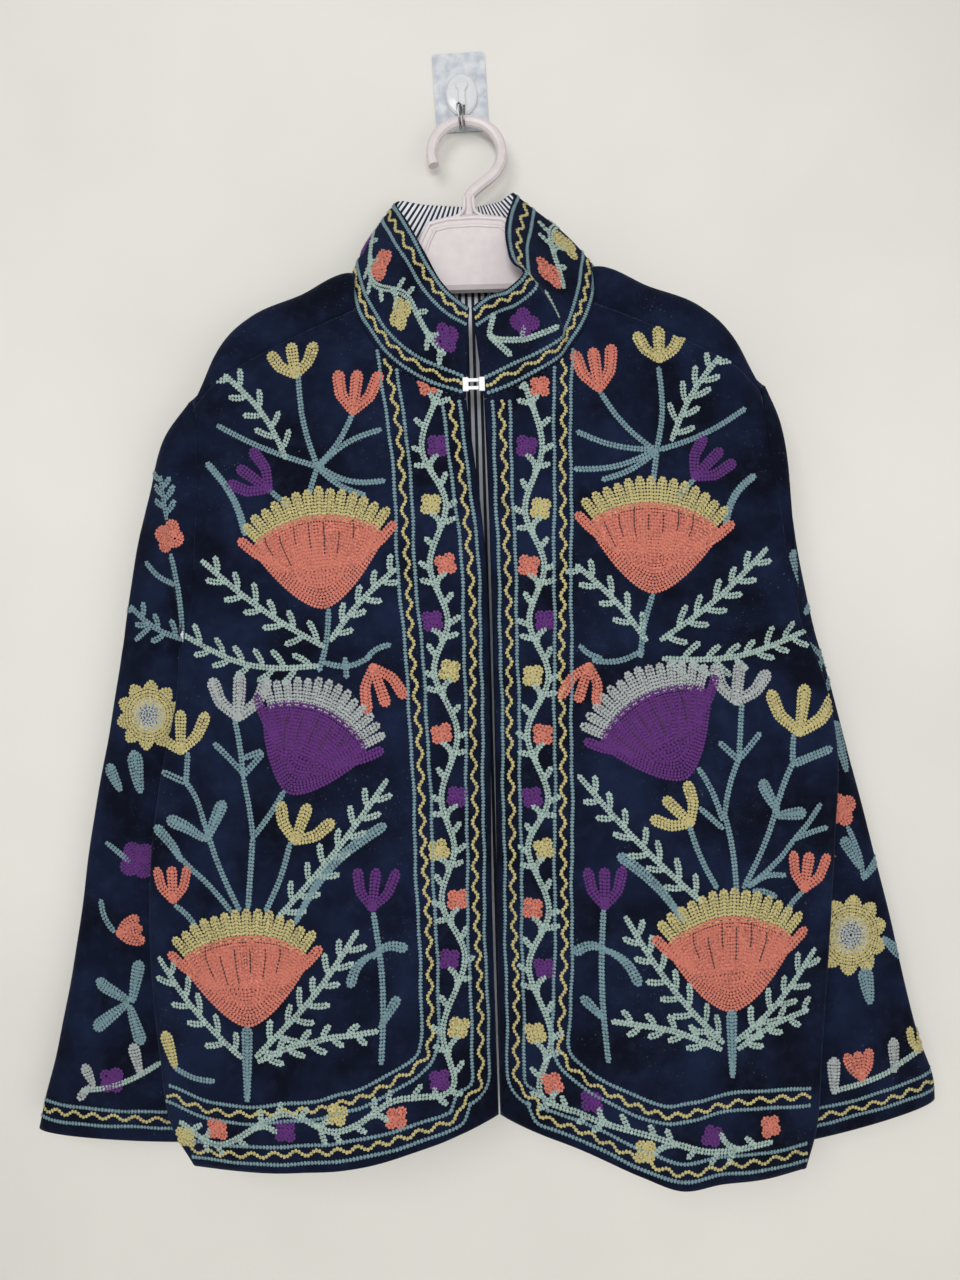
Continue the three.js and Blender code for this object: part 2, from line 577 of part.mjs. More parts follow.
/** Closed geometry with its faces turned out. */
function closed(points, index) {
  let volume = 0;
  const cross = new THREE.Vector3();
  for (let k = 0; k < index.length; k += 3) {
    const [a, b, c] = [points[index[k]], points[index[k + 1]], points[index[k + 2]]];
    volume += a.dot(cross.crossVectors(b, c));
  }
  const order = volume > 0 ? index : index.toReversed();
  const geometry = new THREE.BufferGeometry();
  geometry.setFromPoints(points);
  geometry.setIndex(order);
  return geometry;
}

function solidOf(geometry) {
  const bare = geometry.clone();
  bare.deleteAttribute('normal');
  bare.deleteAttribute('uv');
  const merged = BufferGeometryUtils.mergeVertices(bare, 1e-3);
  return new wasm.Manifold(new wasm.Mesh({
    numProp: 3,
    vertProperties: new Float32Array(merged.attributes.position.array),
    triVerts: new Uint32Array(merged.index.array),
  }));
}

/** A solid cut back from its neighbours, without the slivers that may leave. */
function cutBack(geometry, neighbours) {
  let solid = solidOf(geometry);
  for (const neighbour of neighbours) solid = solid.subtract(solidOf(neighbour));
  const pieces = solid.simplify(0.02).decompose().sort((a, b) => b.volume() - a.volume());
  return geometryOf(pieces[0]);
}

function geometryOf(solid) {
  const mesh = solid.getMesh();
  const geometry = new THREE.BufferGeometry();
  geometry.setAttribute('position', new THREE.BufferAttribute(mesh.vertProperties, 3));
  geometry.setIndex(new THREE.BufferAttribute(mesh.triVerts, 1));
  return geometry;
}

function rod(points, radius, sides, count, tension = 0.5) {
  const path = new THREE.CatmullRomCurve3(points, false, 'catmullrom', tension);
  const section = new THREE.Shape();
  section.absarc(0, 0, radius, 0, 2 * Math.PI);
  return new THREE.ExtrudeGeometry(section, { steps: count, extrudePath: path, curveSegments: sides / 2 });
}

/** Flat outline in the x-z plane, extruded evenly each way along y, with softened edges. */
function slab(shape, thick, bevel, curveSegments) {
  const geometry = new THREE.ExtrudeGeometry(shape, {
    depth: thick - 2 * bevel,
    bevelEnabled: bevel > 0,
    bevelThickness: bevel,
    bevelSize: bevel,
    bevelOffset: -bevel,
    bevelSegments: 1,
    curveSegments,
  });
  geometry.translate(0, 0, bevel - thick / 2);
  geometry.rotateX(Math.PI / 2);
  return geometry;
}

// ---------------------------------------------------------------- sub-parts

const velvet = () => new THREE.MeshStandardMaterial({ color: 0x0e1428, roughness: 0.95, metalness: 0 });
const cotton = () => new THREE.MeshStandardMaterial({ color: 0xd9d9dc, roughness: 0.85, metalness: 0 });
const hangerPlastic = () => new THREE.MeshStandardMaterial({ color: 0xe3d6d6, roughness: 0.35 });
const clearPlastic = () => new THREE.MeshStandardMaterial({ color: 0xd3dae4, roughness: 0.3, metalness: 0 });
const steel = () => new THREE.MeshStandardMaterial({ color: 0x8c8c90, roughness: 0.3, metalness: 1 });
const claspWhite = () => new THREE.MeshStandardMaterial({ color: 0xe9ecee, roughness: 0.3, metalness: 0 });

const garment = new THREE.Group();
garment.position.x = GARMENT_X;
const holder = new THREE.Group();

function add(group, name, geometry, material) {
  const mesh = new THREE.Mesh(geometry, material);
  mesh.name = name;
  group.add(mesh);
  return mesh;
}

const SIDE_ROWS = 10; // rows of both body panels below the underarm
const FRONT_UPPER = [...spread(UNDERARM_ROW, NECK_ROW, 4), ...spread(NECK_ROW, 1, 5)];
const BACK_UPPER = spread(BACK_UNDERARM_ROW, 1, 6);
const BACK_TURNS = 5;

const frontRows = [0, ...spread(0, UNDERARM_ROW, SIDE_ROWS), ...FRONT_UPPER];
const backHangRows = [0, ...spread(0, BACK_UNDERARM_ROW, SIDE_ROWS), ...BACK_UPPER];
const backLowerRows = backHangRows.map((v) => v * BACK_LINE_ROW);
const backRows = [...backLowerRows, ...spread(BACK_LINE_ROW, 1, BACK_TURNS)];
const shoulderColumns = FORWARD_STOPS.slice(1).map((at) => lerp(NECK_COLUMNS, 1, at));
const mirrored = (half) => [...half.slice(1).reverse().map((u) => -u), ...half];

const kept = {}; // each cloth wall, plain and with the seam gap added all over, to cut its neighbours back by
const walls = (names) => names.flatMap((name) => kept[name]);

/** Adds a wall as a named piece, clear of the pieces listed. */
function sew(name, material, neighbours, point, us, vs, thick, options) {
  const geometry = wall(point, us, vs, thick, options);
  const clear = neighbours.length ? cutBack(geometry, walls(neighbours)) : geometry;
  kept[name] = [clear, wall(point, us, vs, thick, options, SEAM_GAP)];
  add(garment, name, clear, material);
}

function buildFronts() {
  for (const name of ['right', 'left']) {
    const point = (u, v) => frontPoint(name, u, v);
    const seam = (u, v) => frontSeamNormal(name, u, v);
    const { sign } = SIDES[name];
    const shift = (u) => (u === 1 ? V((-sign * SEAM_GAP) / 2, -SEAM_GAP / 2, 0) : null);
    sew(`front_${name}`, velvet(), [], point, FRONT_COLUMNS, frontRows, VELVET, { turn: sign, seam, shift });
  }
}

const PANEL = { u: [-1, 1], v: [0, 1] };

function buildBack() {
  const columns = mirrored([...NECK_STEPS, ...shoulderColumns]);
  const shift = (u) => (Math.abs(u) === 1 ? V((-u * SEAM_GAP) / 2, SEAM_GAP / 2, 0) : null);
  const options = { turn: -1, seam: backSeamNormal, shift };
  sew('back', velvet(), ['front_right', 'front_left'], backPoint, columns, backRows, VELVET, options);
}

function buildBackLining() {
  const options = { turn: -1, inset: VELVET + SEAM_GAP, limits: PANEL };
  const columns = mirrored(NECK_STEPS.slice(0, 4));
  sew('back_lining', cotton(), ['back'], backPoint, columns, backRows, LINING, options);
}

function buildSleeves() {
  const frontAngles = FRONT_UPPER.map((v) => armholeAngle(column(UPPER_SIDE, 'z', v))).reverse();
  const backAngles = spread(180, 360 + BACK_LINE_ANGLE, 6);
  const topAngles = spread(360 + BACK_LINE_ANGLE, 360 + FORWARD_SEAM_ANGLE, BACK_TURNS);
  const angles = [...frontAngles, 180, ...backAngles, ...topAngles];
  const rings = [0, 0.05, 0.1, 0.16, ...spread(0.16, 1, 12)];
  for (const name of ['right', 'left']) {
    const point = (angle, at) => sleevePoint(name, angle, at);
    const seam = (angle, at) => (at === 0 ? armholeNormal(angle > 180 ? angle - 360 : angle) : null);
    const options = { turn: SIDES[name].sign, seam, round: true };
    sew(`sleeve_${name}`, velvet(), [`front_${name}`, 'back'], point, angles, rings, VELVET, options);
  }
}

function buildCollar() {
  const stops = [...new Set([...NECK_STOPS, 0.18, 0.3, 0.42])].sort((a, b) => a - b);
  const half = stops.map((at) => 1 - at).reverse();
  const around = mirrored(half);
  const rows = steps(5);
  const seam = (t, up) => (up < 0.1 ? outOfNeck(collarPoint(t, 0)) : null);
  const body = ['front_right', 'front_left', 'back'];
  sew('collar', velvet(), body, collarPoint, around, rows, VELVET, { turn: -1, seam });
  const options = { turn: -1, inset: VELVET + SEAM_GAP, seam, limits: PANEL };
  const neighbours = [...body, 'back_lining', 'collar'];
  sew('collar_lining', cotton(), neighbours, collarPoint, around, rows, LINING, options);
}

/** Small white hook and bar that hold the collar's foot shut. */
function buildClasp() {
  const { z, x, y, width, height, thick, plate, bar } = CLASP;
  const end = (from) => {
    const shape = new THREE.Shape();
    shape.moveTo(from, -height / 2);
    shape.lineTo(from + plate, -height / 2);
    shape.lineTo(from + plate, height / 2);
    shape.lineTo(from, height / 2);
    shape.closePath();
    return slab(shape, thick, 0.3, 1);
  };
  const reach = width - 2 * plate - SEAM_GAP;
  let hook = solidOf(end(-width / 2));
  for (const level of [-0.28, 0.28]) {
    const prong = new THREE.BoxGeometry(reach + 1, thick, bar);
    prong.translate(-width / 2 + plate + (reach - 1) / 2, 0, level * height);
    hook = hook.add(solidOf(prong));
  }
  add(garment, 'clasp_hook', geometryOf(hook), claspWhite()).position.set(x, y, z);
  add(garment, 'clasp_bar', end(width / 2 - plate), claspWhite()).position.set(x, y, z);
}

/** Inner points of the back along the top of a shoulder, where the hanger's arm carries it. */
function shoulderSeats(name) {
  const sign = SIDES[name].sign;
  return shoulderColumns.slice(0, -3).map((u) => {
    const [back, front] = [2, 3].map((k) => backTurn(name, u, k / BACK_TURNS));
    return { x: ((back.x + front.x) / 2) * sign, z: Math.min(back.z, front.z) - VELVET };
  });
}

/** Plastic shirt hanger: plate, arms and open ring in one moulding, leaning out as it hangs. */
function buildHanger() {
  const lean = radians(HANGER.lean);
  const drop = (z) => (z - HANGER.hangZ) / Math.cos(lean); // height in the hanger's own plane
  const [right, left] = [shoulderSeats('right'), shoulderSeats('left')];
  const outline = new THREE.Shape();
  const top = (p) => drop(p.z - 1);
  const { armDepth } = HANGER;
  outline.moveTo(right.at(-1).x, top(right.at(-1)) - armDepth);
  for (const p of right.toReversed()) outline.lineTo(p.x, top(p));
  outline.lineTo(-92, drop(-188));
  outline.lineTo(-56, drop(-168));
  outline.lineTo(-46, drop(-140));
  outline.quadraticCurveTo(-38, drop(-124), -6, drop(-120));
  outline.lineTo(2, drop(-120));
  outline.quadraticCurveTo(34, drop(-122), 40, drop(-132));
  outline.lineTo(48, drop(-150));
  outline.lineTo(57, drop(-168));
  outline.lineTo(96, drop(-188));
  for (const p of left) outline.lineTo(p.x, top(p));
  outline.lineTo(left.at(-1).x, top(left.at(-1)) - armDepth);
  outline.lineTo(left[1].x, top(left[1]) - armDepth - 4);
  outline.lineTo(60, drop(-193));
  outline.lineTo(34, drop(-187));
  outline.lineTo(-26, drop(-187));
  outline.lineTo(-56, drop(-193));
  outline.lineTo(right[1].x, top(right[1]) - armDepth - 4);
  outline.closePath();
  const frame = slab(outline, HANGER.thick, 3, 5);

  const ringZ = HANGER.hangZ - HANGER.ringRadius + HANGER.rodRadius;
  const turns = 16;
  const path = steps(turns).map((k) => {
    const angle = radians(lerp(HANGER.tipAngle, HANGER.leaveAngle, k));
    const [c, s] = [Math.cos(angle), Math.sin(angle)];
    return V(HANGER.ringX + HANGER.ringRadius * c, 0, drop(ringZ) + HANGER.ringRadius * s);
  });
  path.push(V(3.2, 0, drop(-97)), V(HANGER.stemX, 0, drop(-105)), V(HANGER.stemX, 0, drop(-124)));
  const hook = rod(path, HANGER.rodRadius, 10, 40);
  const moulding = geometryOf(solidOf(frame).add(solidOf(hook)));
  moulding.rotateX(-lean);
  moulding.translate(0, HANGER.hangY, HANGER.hangZ);
  const cloth = walls(['back', 'back_lining', 'collar', 'collar_lining']);
  add(garment, 'hanger', cutBack(moulding, cloth), hangerPlastic());
}

function buildWallHook() {
  const pad = new THREE.Shape();
  const [w, h, r] = [PAD.width / 2, PAD.height / 2, PAD.corner];
  pad.moveTo(-w + r, -h);
  pad.lineTo(w - r, -h);
  pad.absarc(w - r, -h + r, r, -Math.PI / 2, 0);
  pad.lineTo(w, h - r);
  pad.absarc(w - r, h - r, r, 0, Math.PI / 2);
  pad.lineTo(-w + r, h);
  pad.absarc(-w + r, h - r, r, Math.PI / 2, Math.PI);
  pad.lineTo(-w, -h + r);
  pad.absarc(-w + r, -h + r, r, Math.PI, 1.5 * Math.PI);
  const padMesh = add(holder, 'hook_pad', slab(pad, PAD.thick, 0, 4), clearPlastic());
  padMesh.position.y = -PAD.thick / 2;
  padMesh.rotation.y = radians(-PAD.tilt);

  const seatY = -PAD.thick - SEAM_GAP;
  const profile = [[0, 0], [1, 0], [1, 0.3], [0.9, 0.62], [0.55, 0.92], [0, 1]];
  const dome = profile.map(([a, b]) => new THREE.Vector2(a, b));
  const base = new THREE.LatheGeometry(dome, 28);
  base.rotateX(Math.PI);
  base.scale(BASE.width / 2, BASE.thick, BASE.height / 2);
  base.translate(0, seatY, BASE.z);
  const arm = new THREE.Shape();
  arm.moveTo(-ARM.knob, ARM.top);
  arm.lineTo(-ARM.knob, ARM.top - 4);
  arm.lineTo(-ARM.width / 2, ARM.top - 7);
  arm.lineTo(-ARM.width / 2, ARM.bottom);
  arm.lineTo(ARM.width / 2, ARM.bottom);
  arm.lineTo(ARM.width / 2, ARM.top - 7);
  arm.lineTo(ARM.knob, ARM.top - 4);
  arm.lineTo(ARM.knob, ARM.top);
  arm.closePath();
  const lever = slab(arm, ARM.thick, 0.6, 1);
  lever.translate(0, seatY - BASE.thick - ARM.thick / 2 + 1.4, 0);
  add(holder, 'hook_base', geometryOf(solidOf(base).add(solidOf(lever))), clearPlastic()).position.x = BASE.x;

  const half = WIRE_ROUTE.map((p) => V(p.x - WIRE.spread, p.y, p.z));
  const other = WIRE_ROUTE.toReversed().map((p) => V(p.x + WIRE.spread, p.y, p.z));
  const tip = WIRE_ROUTE.at(-1);
  const route = [...half, V(tip.x, tip.y, tip.z + 2), ...other];
  add(holder, 'hook_wire', rod(route, WIRE.radius, 6, 52), steel()).position.x = BASE.x;
}

buildFronts();
buildBack();
buildBackLining();
buildSleeves();
buildCollar();
buildClasp();
buildHanger();
buildWallHook();

const jacket = new THREE.Group();
jacket.add(garment, holder);

export default jacket;
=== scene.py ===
import math
import random
from functools import partial

import bpy
import numpy as np
from mathutils import Matrix, Vector
from mathutils.bvhtree import BVHTree


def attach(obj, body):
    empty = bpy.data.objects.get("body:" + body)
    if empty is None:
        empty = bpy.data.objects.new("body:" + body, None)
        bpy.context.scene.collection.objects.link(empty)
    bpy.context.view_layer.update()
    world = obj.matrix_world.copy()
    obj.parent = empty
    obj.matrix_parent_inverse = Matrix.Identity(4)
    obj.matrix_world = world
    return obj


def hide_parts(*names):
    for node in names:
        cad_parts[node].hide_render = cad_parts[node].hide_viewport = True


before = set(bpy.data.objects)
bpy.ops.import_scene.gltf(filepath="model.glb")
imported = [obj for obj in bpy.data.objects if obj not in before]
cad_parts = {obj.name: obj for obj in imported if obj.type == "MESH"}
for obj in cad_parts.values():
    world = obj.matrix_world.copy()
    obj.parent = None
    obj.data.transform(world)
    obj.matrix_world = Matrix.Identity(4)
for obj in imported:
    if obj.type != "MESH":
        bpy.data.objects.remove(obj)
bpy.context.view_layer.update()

MM = 0.001
GARMENT_X = 7.0  # the jacket's middle plane, from the wall hook
CAMERA_X, CAMERA_Y, CAMERA_Z = 3.7, -844, -480.2  # millimetres from the wall hook
CAMERA_ROLL = math.radians(1.6)
VIEW_WIDTH, VIEW_HEIGHT, VIEW_FOCAL = 960, 1280, 962  # pixels
SEAM_GAP = 0.3
SHELL = 1.9  # thickness of the cloth shells, a little less than the solids'
BODY_MIDDLE_Y = -38.0

# ---------------------------------------------------------------- the jacket's cut, as in its solids


def rows(names, *values):
    keys = names.split()
    return [dict(zip(keys, row)) for row in values]


CENTRE_HEM_Z, CENTRE_NECK_Z = -866, -290
UNDERARM_Y, UNDERARM_Z = -59, -480
SHOULDER_TIP = Vector((241, -38, -274))
ARMHOLE_FRONT_DEPTH, ARMHOLE_BACK_DEPTH = 15, 31
SIDE_FOLD_RADIUS, UNDERARM_FOLD_RADIUS = 5.5, 3.4
SIDES = {
    "right": {"sign": -1, "underarm": 249, "bow_front": 15, "bow_back": 20, "hem": -897},
    "left": {"sign": 1, "underarm": 262, "bow_front": 10, "bow_back": 20, "hem": -911},
}
FRONT_EDGE = rows(
    "at right left y",
    (0.0, -1.2, 2.4, -62),
    (0.3, -0.6, 4.6, -64),
    (0.55, -3.0, 6.4, -68),
    (0.8, -2.6, 6.8, -74),
    (1.0, 8.8, 5.4, -82),
)
SIDE_SEAM = rows(
    "at right left y",
    (0.0, 247, 249, -65),
    (0.07, 264, 259, -63),
    (0.2, 272, 265, -62),
    (0.4, 278, 273, -62),
    (0.6, 275, 280, -62),
    (0.76, 265, 285, -61),
    (0.9, 252, 277, -60),
    (1.0, 249, 262, UNDERARM_Y),
)
NECK = rows(
    "at x y z",
    (0.0, 9.2, -82, -289),
    (0.15, 38, -79, -277),
    (0.3, 65, -72, -259),
    (0.45, 85, -64, -234),
    (0.6, 98, -56, -206),
    (0.72, 102, -36, -171),
    (0.82, 86, -21, -174),
    (0.91, 50, -14, -178),
    (1.0, 0, -13, -179),
)
LEFT_NECK_SHIFT = 3.6
FORWARD_SEAM_AT = 0.6
SHOULDER = rows(
    "at x y z rise reach turn",
    (0.0, 0, -13, -215, 12, 12, 0),
    (0.15, 66, -13, -215, 14, 14, 20),
    (0.28, 92, -13, -213, 24, 12, 90),
    (0.4, 98, -13, -213, 51, 51, 180),
    (0.6, 148, -12, -232, 55, 55, 180),
    (0.76, 190, -12, -250, 60, 60, 180),
    (0.88, 214, -14, -268, 50, 50, 180),
    (1.0, 232, -22, -292, 16, 16, 180),
)
NECK_COLUMNS = 0.4
FORWARD_SEAM = rows(
    "at x y z",
    (0.0, 98, -56, -206),
    (0.33, 144, -58, -226),
    (0.6, 185, -58, -246),
    (0.8, 212, -56, -261),
    (1.0, 236, -44, -280),
)
FORWARD_SEAM_ANGLE, BACK_LINE_ANGLE = 20, -35
FRONT_HANG = rows(
    "at belly sag",
    (0.0, 33, 7),
    (0.15, 27, 4),
    (0.3, 21, 2),
    (0.45, 15, 0),
    (0.6, 9, 0),
    (0.78, 2, 0),
    (1.0, 0, 0),
)
BACK_HANG = rows(
    "at y z inner outer",
    (0.0, -17, -884, 95, 168),
    (0.3, -13, -682, 80, 160),
    (0.6, -12, -480, 70, 165),
    (0.75, -12, -388, 110, 225),
    (1.0, -13, -215, 120, 235),
)
FOLD_KEYS = "across wide deep low high"
FRONT_FOLDS = {
    "right": rows(
        FOLD_KEYS,
        (0.27, 0.09, 5, -0.1, 0.3),
        (0.63, 0.08, 6, -0.1, 0.42),
        (0.8, 0.07, 4, 0.3, 0.68),
        (0.45, 0.03, 1.6, 0.05, 0.5),
        (0.91, 0.03, 2.0, 0.25, 0.62),
        (0.14, 0.03, 1.2, -0.1, 0.2),
    ),
    "left": rows(
        FOLD_KEYS,
        (0.22, 0.08, 5, -0.1, 0.28),
        (0.7, 0.09, 7, -0.1, 0.45),
        (0.86, 0.06, 4, 0.32, 0.66),
        (0.5, 0.035, 1.8, 0.0, 0.4),
        (0.36, 0.03, 1.2, 0.3, 0.6),
        (0.93, 0.03, 1.8, 0.2, 0.55),
    ),
}
BACK_FOLDS = rows(
    FOLD_KEYS,
    (-0.36, 0.07, 5, -0.1, 0.5),
    (0.08, 0.06, 3, -0.1, 0.36),
    (0.33, 0.07, 6, -0.1, 0.55),
    (-0.16, 0.03, 1.6, 0.0, 0.45),
    (0.2, 0.03, 1.4, 0.1, 0.6),
)
RING_KEYS = "at out_x out_y out_z in_x in_y in_z front back"
SLEEVE_RINGS = {
    "right": rows(
        RING_KEYS,
        (0.08, 262, -37, -303, 245, -49, -487, 19, 24),
        (0.17, 277, -35, -352, 237, -44, -499, 16, 22),
        (0.26, 291, -33, -402, 227, -41, -514, 15, 21),
        (0.36, 303, -31, -470, 212, -38, -540, 14, 20),
        (0.46, 316, -29, -535, 203, -35, -590, 15, 19),
        (0.58, 334, -28, -622, 200, -33, -655, 16, 18),
        (0.72, 351, -27, -722, 204, -31, -740, 17, 18),
        (0.86, 370, -27, -815, 213, -30, -822, 18, 18),
        (0.95, 383, -26, -861, 221, -29, -870, 18, 18),
        (1.0, 388, -26, -882, 224, -29, -893, 18, 18),
    ),
    "left": rows(
        RING_KEYS,
        (0.08, 252, -37, -305, 258, -49, -488, 18, 24),
        (0.17, 258, -36, -354, 250, -44, -500, 15, 22),
        (0.26, 265, -34, -410, 240, -41, -516, 14, 21),
        (0.36, 276, -32, -471, 226, -38, -542, 14, 20),
        (0.46, 291, -30, -528, 214, -35, -590, 15, 19),
        (0.58, 313, -28, -618, 206, -33, -655, 16, 18),
        (0.72, 337, -27, -722, 208, -31, -740, 17, 18),
        (0.86, 356, -27, -818, 214, -30, -828, 18, 18),
        (0.95, 370, -26, -860, 220, -29, -884, 18, 18),
        (1.0, 371, -26, -878, 222, -29, -912, 18, 18),
    ),
}
UNDERARM_EASE = 4
COLLAR_TOP = {
    "right": rows(
        "at x y z",
        (0.0, 4.6, -86, -218),
        (0.14, 14.7, -84, -209),
        (0.28, 27.6, -76, -191),
        (0.42, 38.5, -64, -166),
        (0.58, 55, -42, -128),
        (0.7, 65, -17, -102),
        (0.85, 40, -9, -102),
        (1.0, 0, -8, -105),
    ),
    "left": rows(
        "at x y z",
        (0.0, -2.6, -86, -218),
        (0.12, 9, -84, -209),
        (0.24, 25, -80, -202),
        (0.34, 36, -80, -192),
        (0.48, 29, -61, -165),
        (0.6, 28, -40, -132),
        (0.7, 37, -15, -97),
        (0.85, 24, -9, -101),
        (1.0, 0, -8, -105),
    ),
}
COLLAR_CROWN = {"right": 5, "left": 6}
COLLAR_CREASES = rows("at lean wide deep", (0.36, -0.05, 0.045, 7), (0.26, -0.06, 0.04, -4))

# creases of each panel as soft troughs: x, z of both ends about the middle plane, half width and depth
CREASES = {
    "front_right": rows(
        "x z x2 z2 wide deep",
        (232, -470, 165, -560, 9, 2.6),
        (240, -500, 190, -640, 8, 2.2),
        (226, -330, 182, -395, 7, 1.8),
        (215, -300, 150, -322, 8, 1.2),
        (262, -700, 225, -560, 8, 2.0),
        (120, -880, 132, -740, 9, 1.8),
        (60, -870, 52, -760, 7, 1.2),
        (40, -330, 95, -420, 9, 1.2),
    ),
    "front_left": rows(
        "x z x2 z2 wide deep",
        (250, -480, 178, -545, 9, 2.4),
        (262, -540, 205, -650, 8, 2.4),
        (222, -325, 175, -372, 7, 1.6),
        (205, -290, 160, -330, 8, 1.4),
        (270, -740, 232, -620, 8, 1.8),
        (150, -890, 140, -770, 9, 2.0),
        (70, -872, 58, -790, 7, 1.4),
        (46, -320, 88, -382, 8, 1.2),
    ),
    "back": rows(
        "x z x2 z2 wide deep",
        (-225, -470, -130, -520, 10, 2.6),
        (228, -465, 140, -540, 10, 2.4),
        (-120, -230, -60, -330, 10, 1.6),
        (125, -235, 70, -320, 9, 1.6),
        (-170, -860, -150, -660, 11, 2.2),
        (185, -870, 160, -640, 11, 2.4),
        (30, -870, 40, -700, 9, 1.4),
    ),
    "sleeve_right": rows(
        "x z x2 z2 wide deep",
        (300, -470, 232, -500, 8, 2.4),
        (312, -560, 250, -590, 9, 2.2),
        (330, -640, 262, -655, 8, 1.8),
        (268, -340, 250, -430, 7, 1.6),
        (350, -870, 322, -700, 9, 2.0),
        (270, -880, 262, -720, 8, 1.8),
    ),
    "sleeve_left": rows(
        "x z x2 z2 wide deep",
        (274, -480, 240, -512, 8, 2.2),
        (292, -575, 246, -600, 9, 2.2),
        (315, -655, 255, -668, 8, 1.8),
        (258, -330, 252, -420, 7, 1.6),
        (345, -870, 318, -700, 9, 2.0),
        (268, -890, 260, -730, 8, 1.8),
    ),
}


def lerp(a, b, t):
    return a + (b - a) * t


def clamp01(t):
    return min(1.0, max(0.0, t))


def smooth(t, low, high):
    s = clamp01((t - low) / (high - low))
    return s * s * (3 - 2 * s)


def column(table, key, at):
    """Value of a column at a place between rows, on a smooth curve through the rows."""
    k = 0
    while k < len(table) - 2 and at > table[k + 1]["at"]:
        k += 1
    a, b = table[k], table[k + 1]
    span = b["at"] - a["at"]
    middle = (b[key] - a[key]) / span
    before = after = middle
    if k > 0:
        c = table[k - 1]
        before = ((a[key] - c[key]) / (a["at"] - c["at"]) + middle) / 2
    if k < len(table) - 2:
        d = table[k + 2]
        after = ((d[key] - b[key]) / (d["at"] - b["at"]) + middle) / 2
    t = clamp01((at - a["at"]) / span)
    t2, t3 = t * t, t * t * t
    start = (2 * t3 - 3 * t2 + 1) * a[key] + (t3 - 2 * t2 + t) * span * before
    return start + (3 * t2 - 2 * t3) * b[key] + (t3 - t2) * span * after


def place(table, at):
    return Vector((column(table, "x", at), column(table, "y", at), column(table, "z", at)))


def fold_depth(folds, across, up):
    depth = 0.0
    for fold in folds:
        offset = (across - fold["across"]) / fold["wide"]
        along = clamp01((up - fold["low"]) / (fold["high"] - fold["low"]))
        depth += fold["deep"] * math.exp(-offset * offset) * math.sin(math.pi * along) ** 2
    return depth


# ---------------------------------------------------------------- seams and panels


def armhole(side, angle):
    """Armhole seam: 0 at the shoulder point, forwards to 180 at the underarm, and back at -180."""
    c, s = math.cos(math.radians(angle)), math.sin(math.radians(angle))
    down = (1 - c) / 2
    bow = side["bow_front"] * s if s > 0 else -side["bow_back"] * s
    depth = -ARMHOLE_FRONT_DEPTH * s if s > 0 else -ARMHOLE_BACK_DEPTH * s
    x = lerp(SHOULDER_TIP.x, side["underarm"], down) - bow
    y = lerp(SHOULDER_TIP.y, UNDERARM_Y, down) + depth
    return Vector((x, y, lerp(SHOULDER_TIP.z, UNDERARM_Z, down)))


def armhole_angle(z):
    half = (SHOULDER_TIP.z - UNDERARM_Z) / 2
    middle = (SHOULDER_TIP.z + UNDERARM_Z) / 2
    return math.degrees(math.acos(min(1.0, max(-1.0, (z - middle) / half))))


def neckline(name, at):
    p = place(NECK, at)
    if name == "left":
        p.x -= LEFT_NECK_SHIFT * max(0.0, 1 - at / 0.3)
    return p


def side_seam(name, at):
    z = lerp(SIDES[name]["hem"], UNDERARM_Z, at)
    return Vector((column(SIDE_SEAM, name, at), column(SIDE_SEAM, "y", at), z))


UNDERARM_ROW, NECK_ROW = 0.53, 0.78
BACK_UNDERARM_ROW, BACK_LINE_ROW = 0.6, 0.76
FRONT_ROUND = 0.93
BACK_ROUND = lerp(NECK_COLUMNS, 1, FRONT_ROUND * 10 / 11)
UPPER_SIDE = rows(
    "at z",
    (UNDERARM_ROW, UNDERARM_Z),
    (NECK_ROW, -325),
    (1, armhole(SIDES["right"], FORWARD_SEAM_ANGLE).z),
)


def fold_radius(at, underarm_at):
    if at > underarm_at:
        return lerp(UNDERARM_FOLD_RADIUS, 0, clamp01((at - underarm_at) / 0.07))
    return lerp(SIDE_FOLD_RADIUS, UNDERARM_FOLD_RADIUS, clamp01((at / underarm_at - 0.8) / 0.2))


def turn_angle(u, start):
    return max(0.0, u - start) / (1 - start) * math.pi / 2


def front_outer(name, v):
    if v <= UNDERARM_ROW:
        return side_seam(name, v / UNDERARM_ROW)
    return armhole(SIDES[name], armhole_angle(column(UPPER_SIDE, "z", v)))


def front_inner(name, v):
    if v > NECK_ROW:
        rim = neckline(name, FORWARD_SEAM_AT * (v - NECK_ROW) / (1 - NECK_ROW))
        return rim + Vector((SEAM_GAP, 0, -SEAM_GAP))
    at = v / NECK_ROW
    z = lerp(CENTRE_HEM_Z, CENTRE_NECK_Z, at)
    return Vector((column(FRONT_EDGE, name, at), column(FRONT_EDGE, "y", at), z))


def front_hang(name, u, v):
    inner, outer = front_inner(name, v), front_outer(name, v)
    radius = fold_radius(v, UNDERARM_ROW)
    turn = turn_angle(u, FRONT_ROUND)
    across = min(u, FRONT_ROUND) / FRONT_ROUND
    swell = math.sin(math.pi * across)
    belly = column(FRONT_HANG, "belly", v) * math.sin(math.pi * across**0.85)
    fold = fold_depth(FRONT_FOLDS[name], across, v) * swell
    x = lerp(inner.x, outer.x - SIDE_FOLD_RADIUS, across) + SIDE_FOLD_RADIUS * math.sin(turn)
    y = lerp(inner.y, outer.y - radius, across) - belly + fold + radius * (1 - math.cos(turn))
    return Vector((x, y, lerp(inner.z, outer.z, across) - column(FRONT_HANG, "sag", v) * swell))


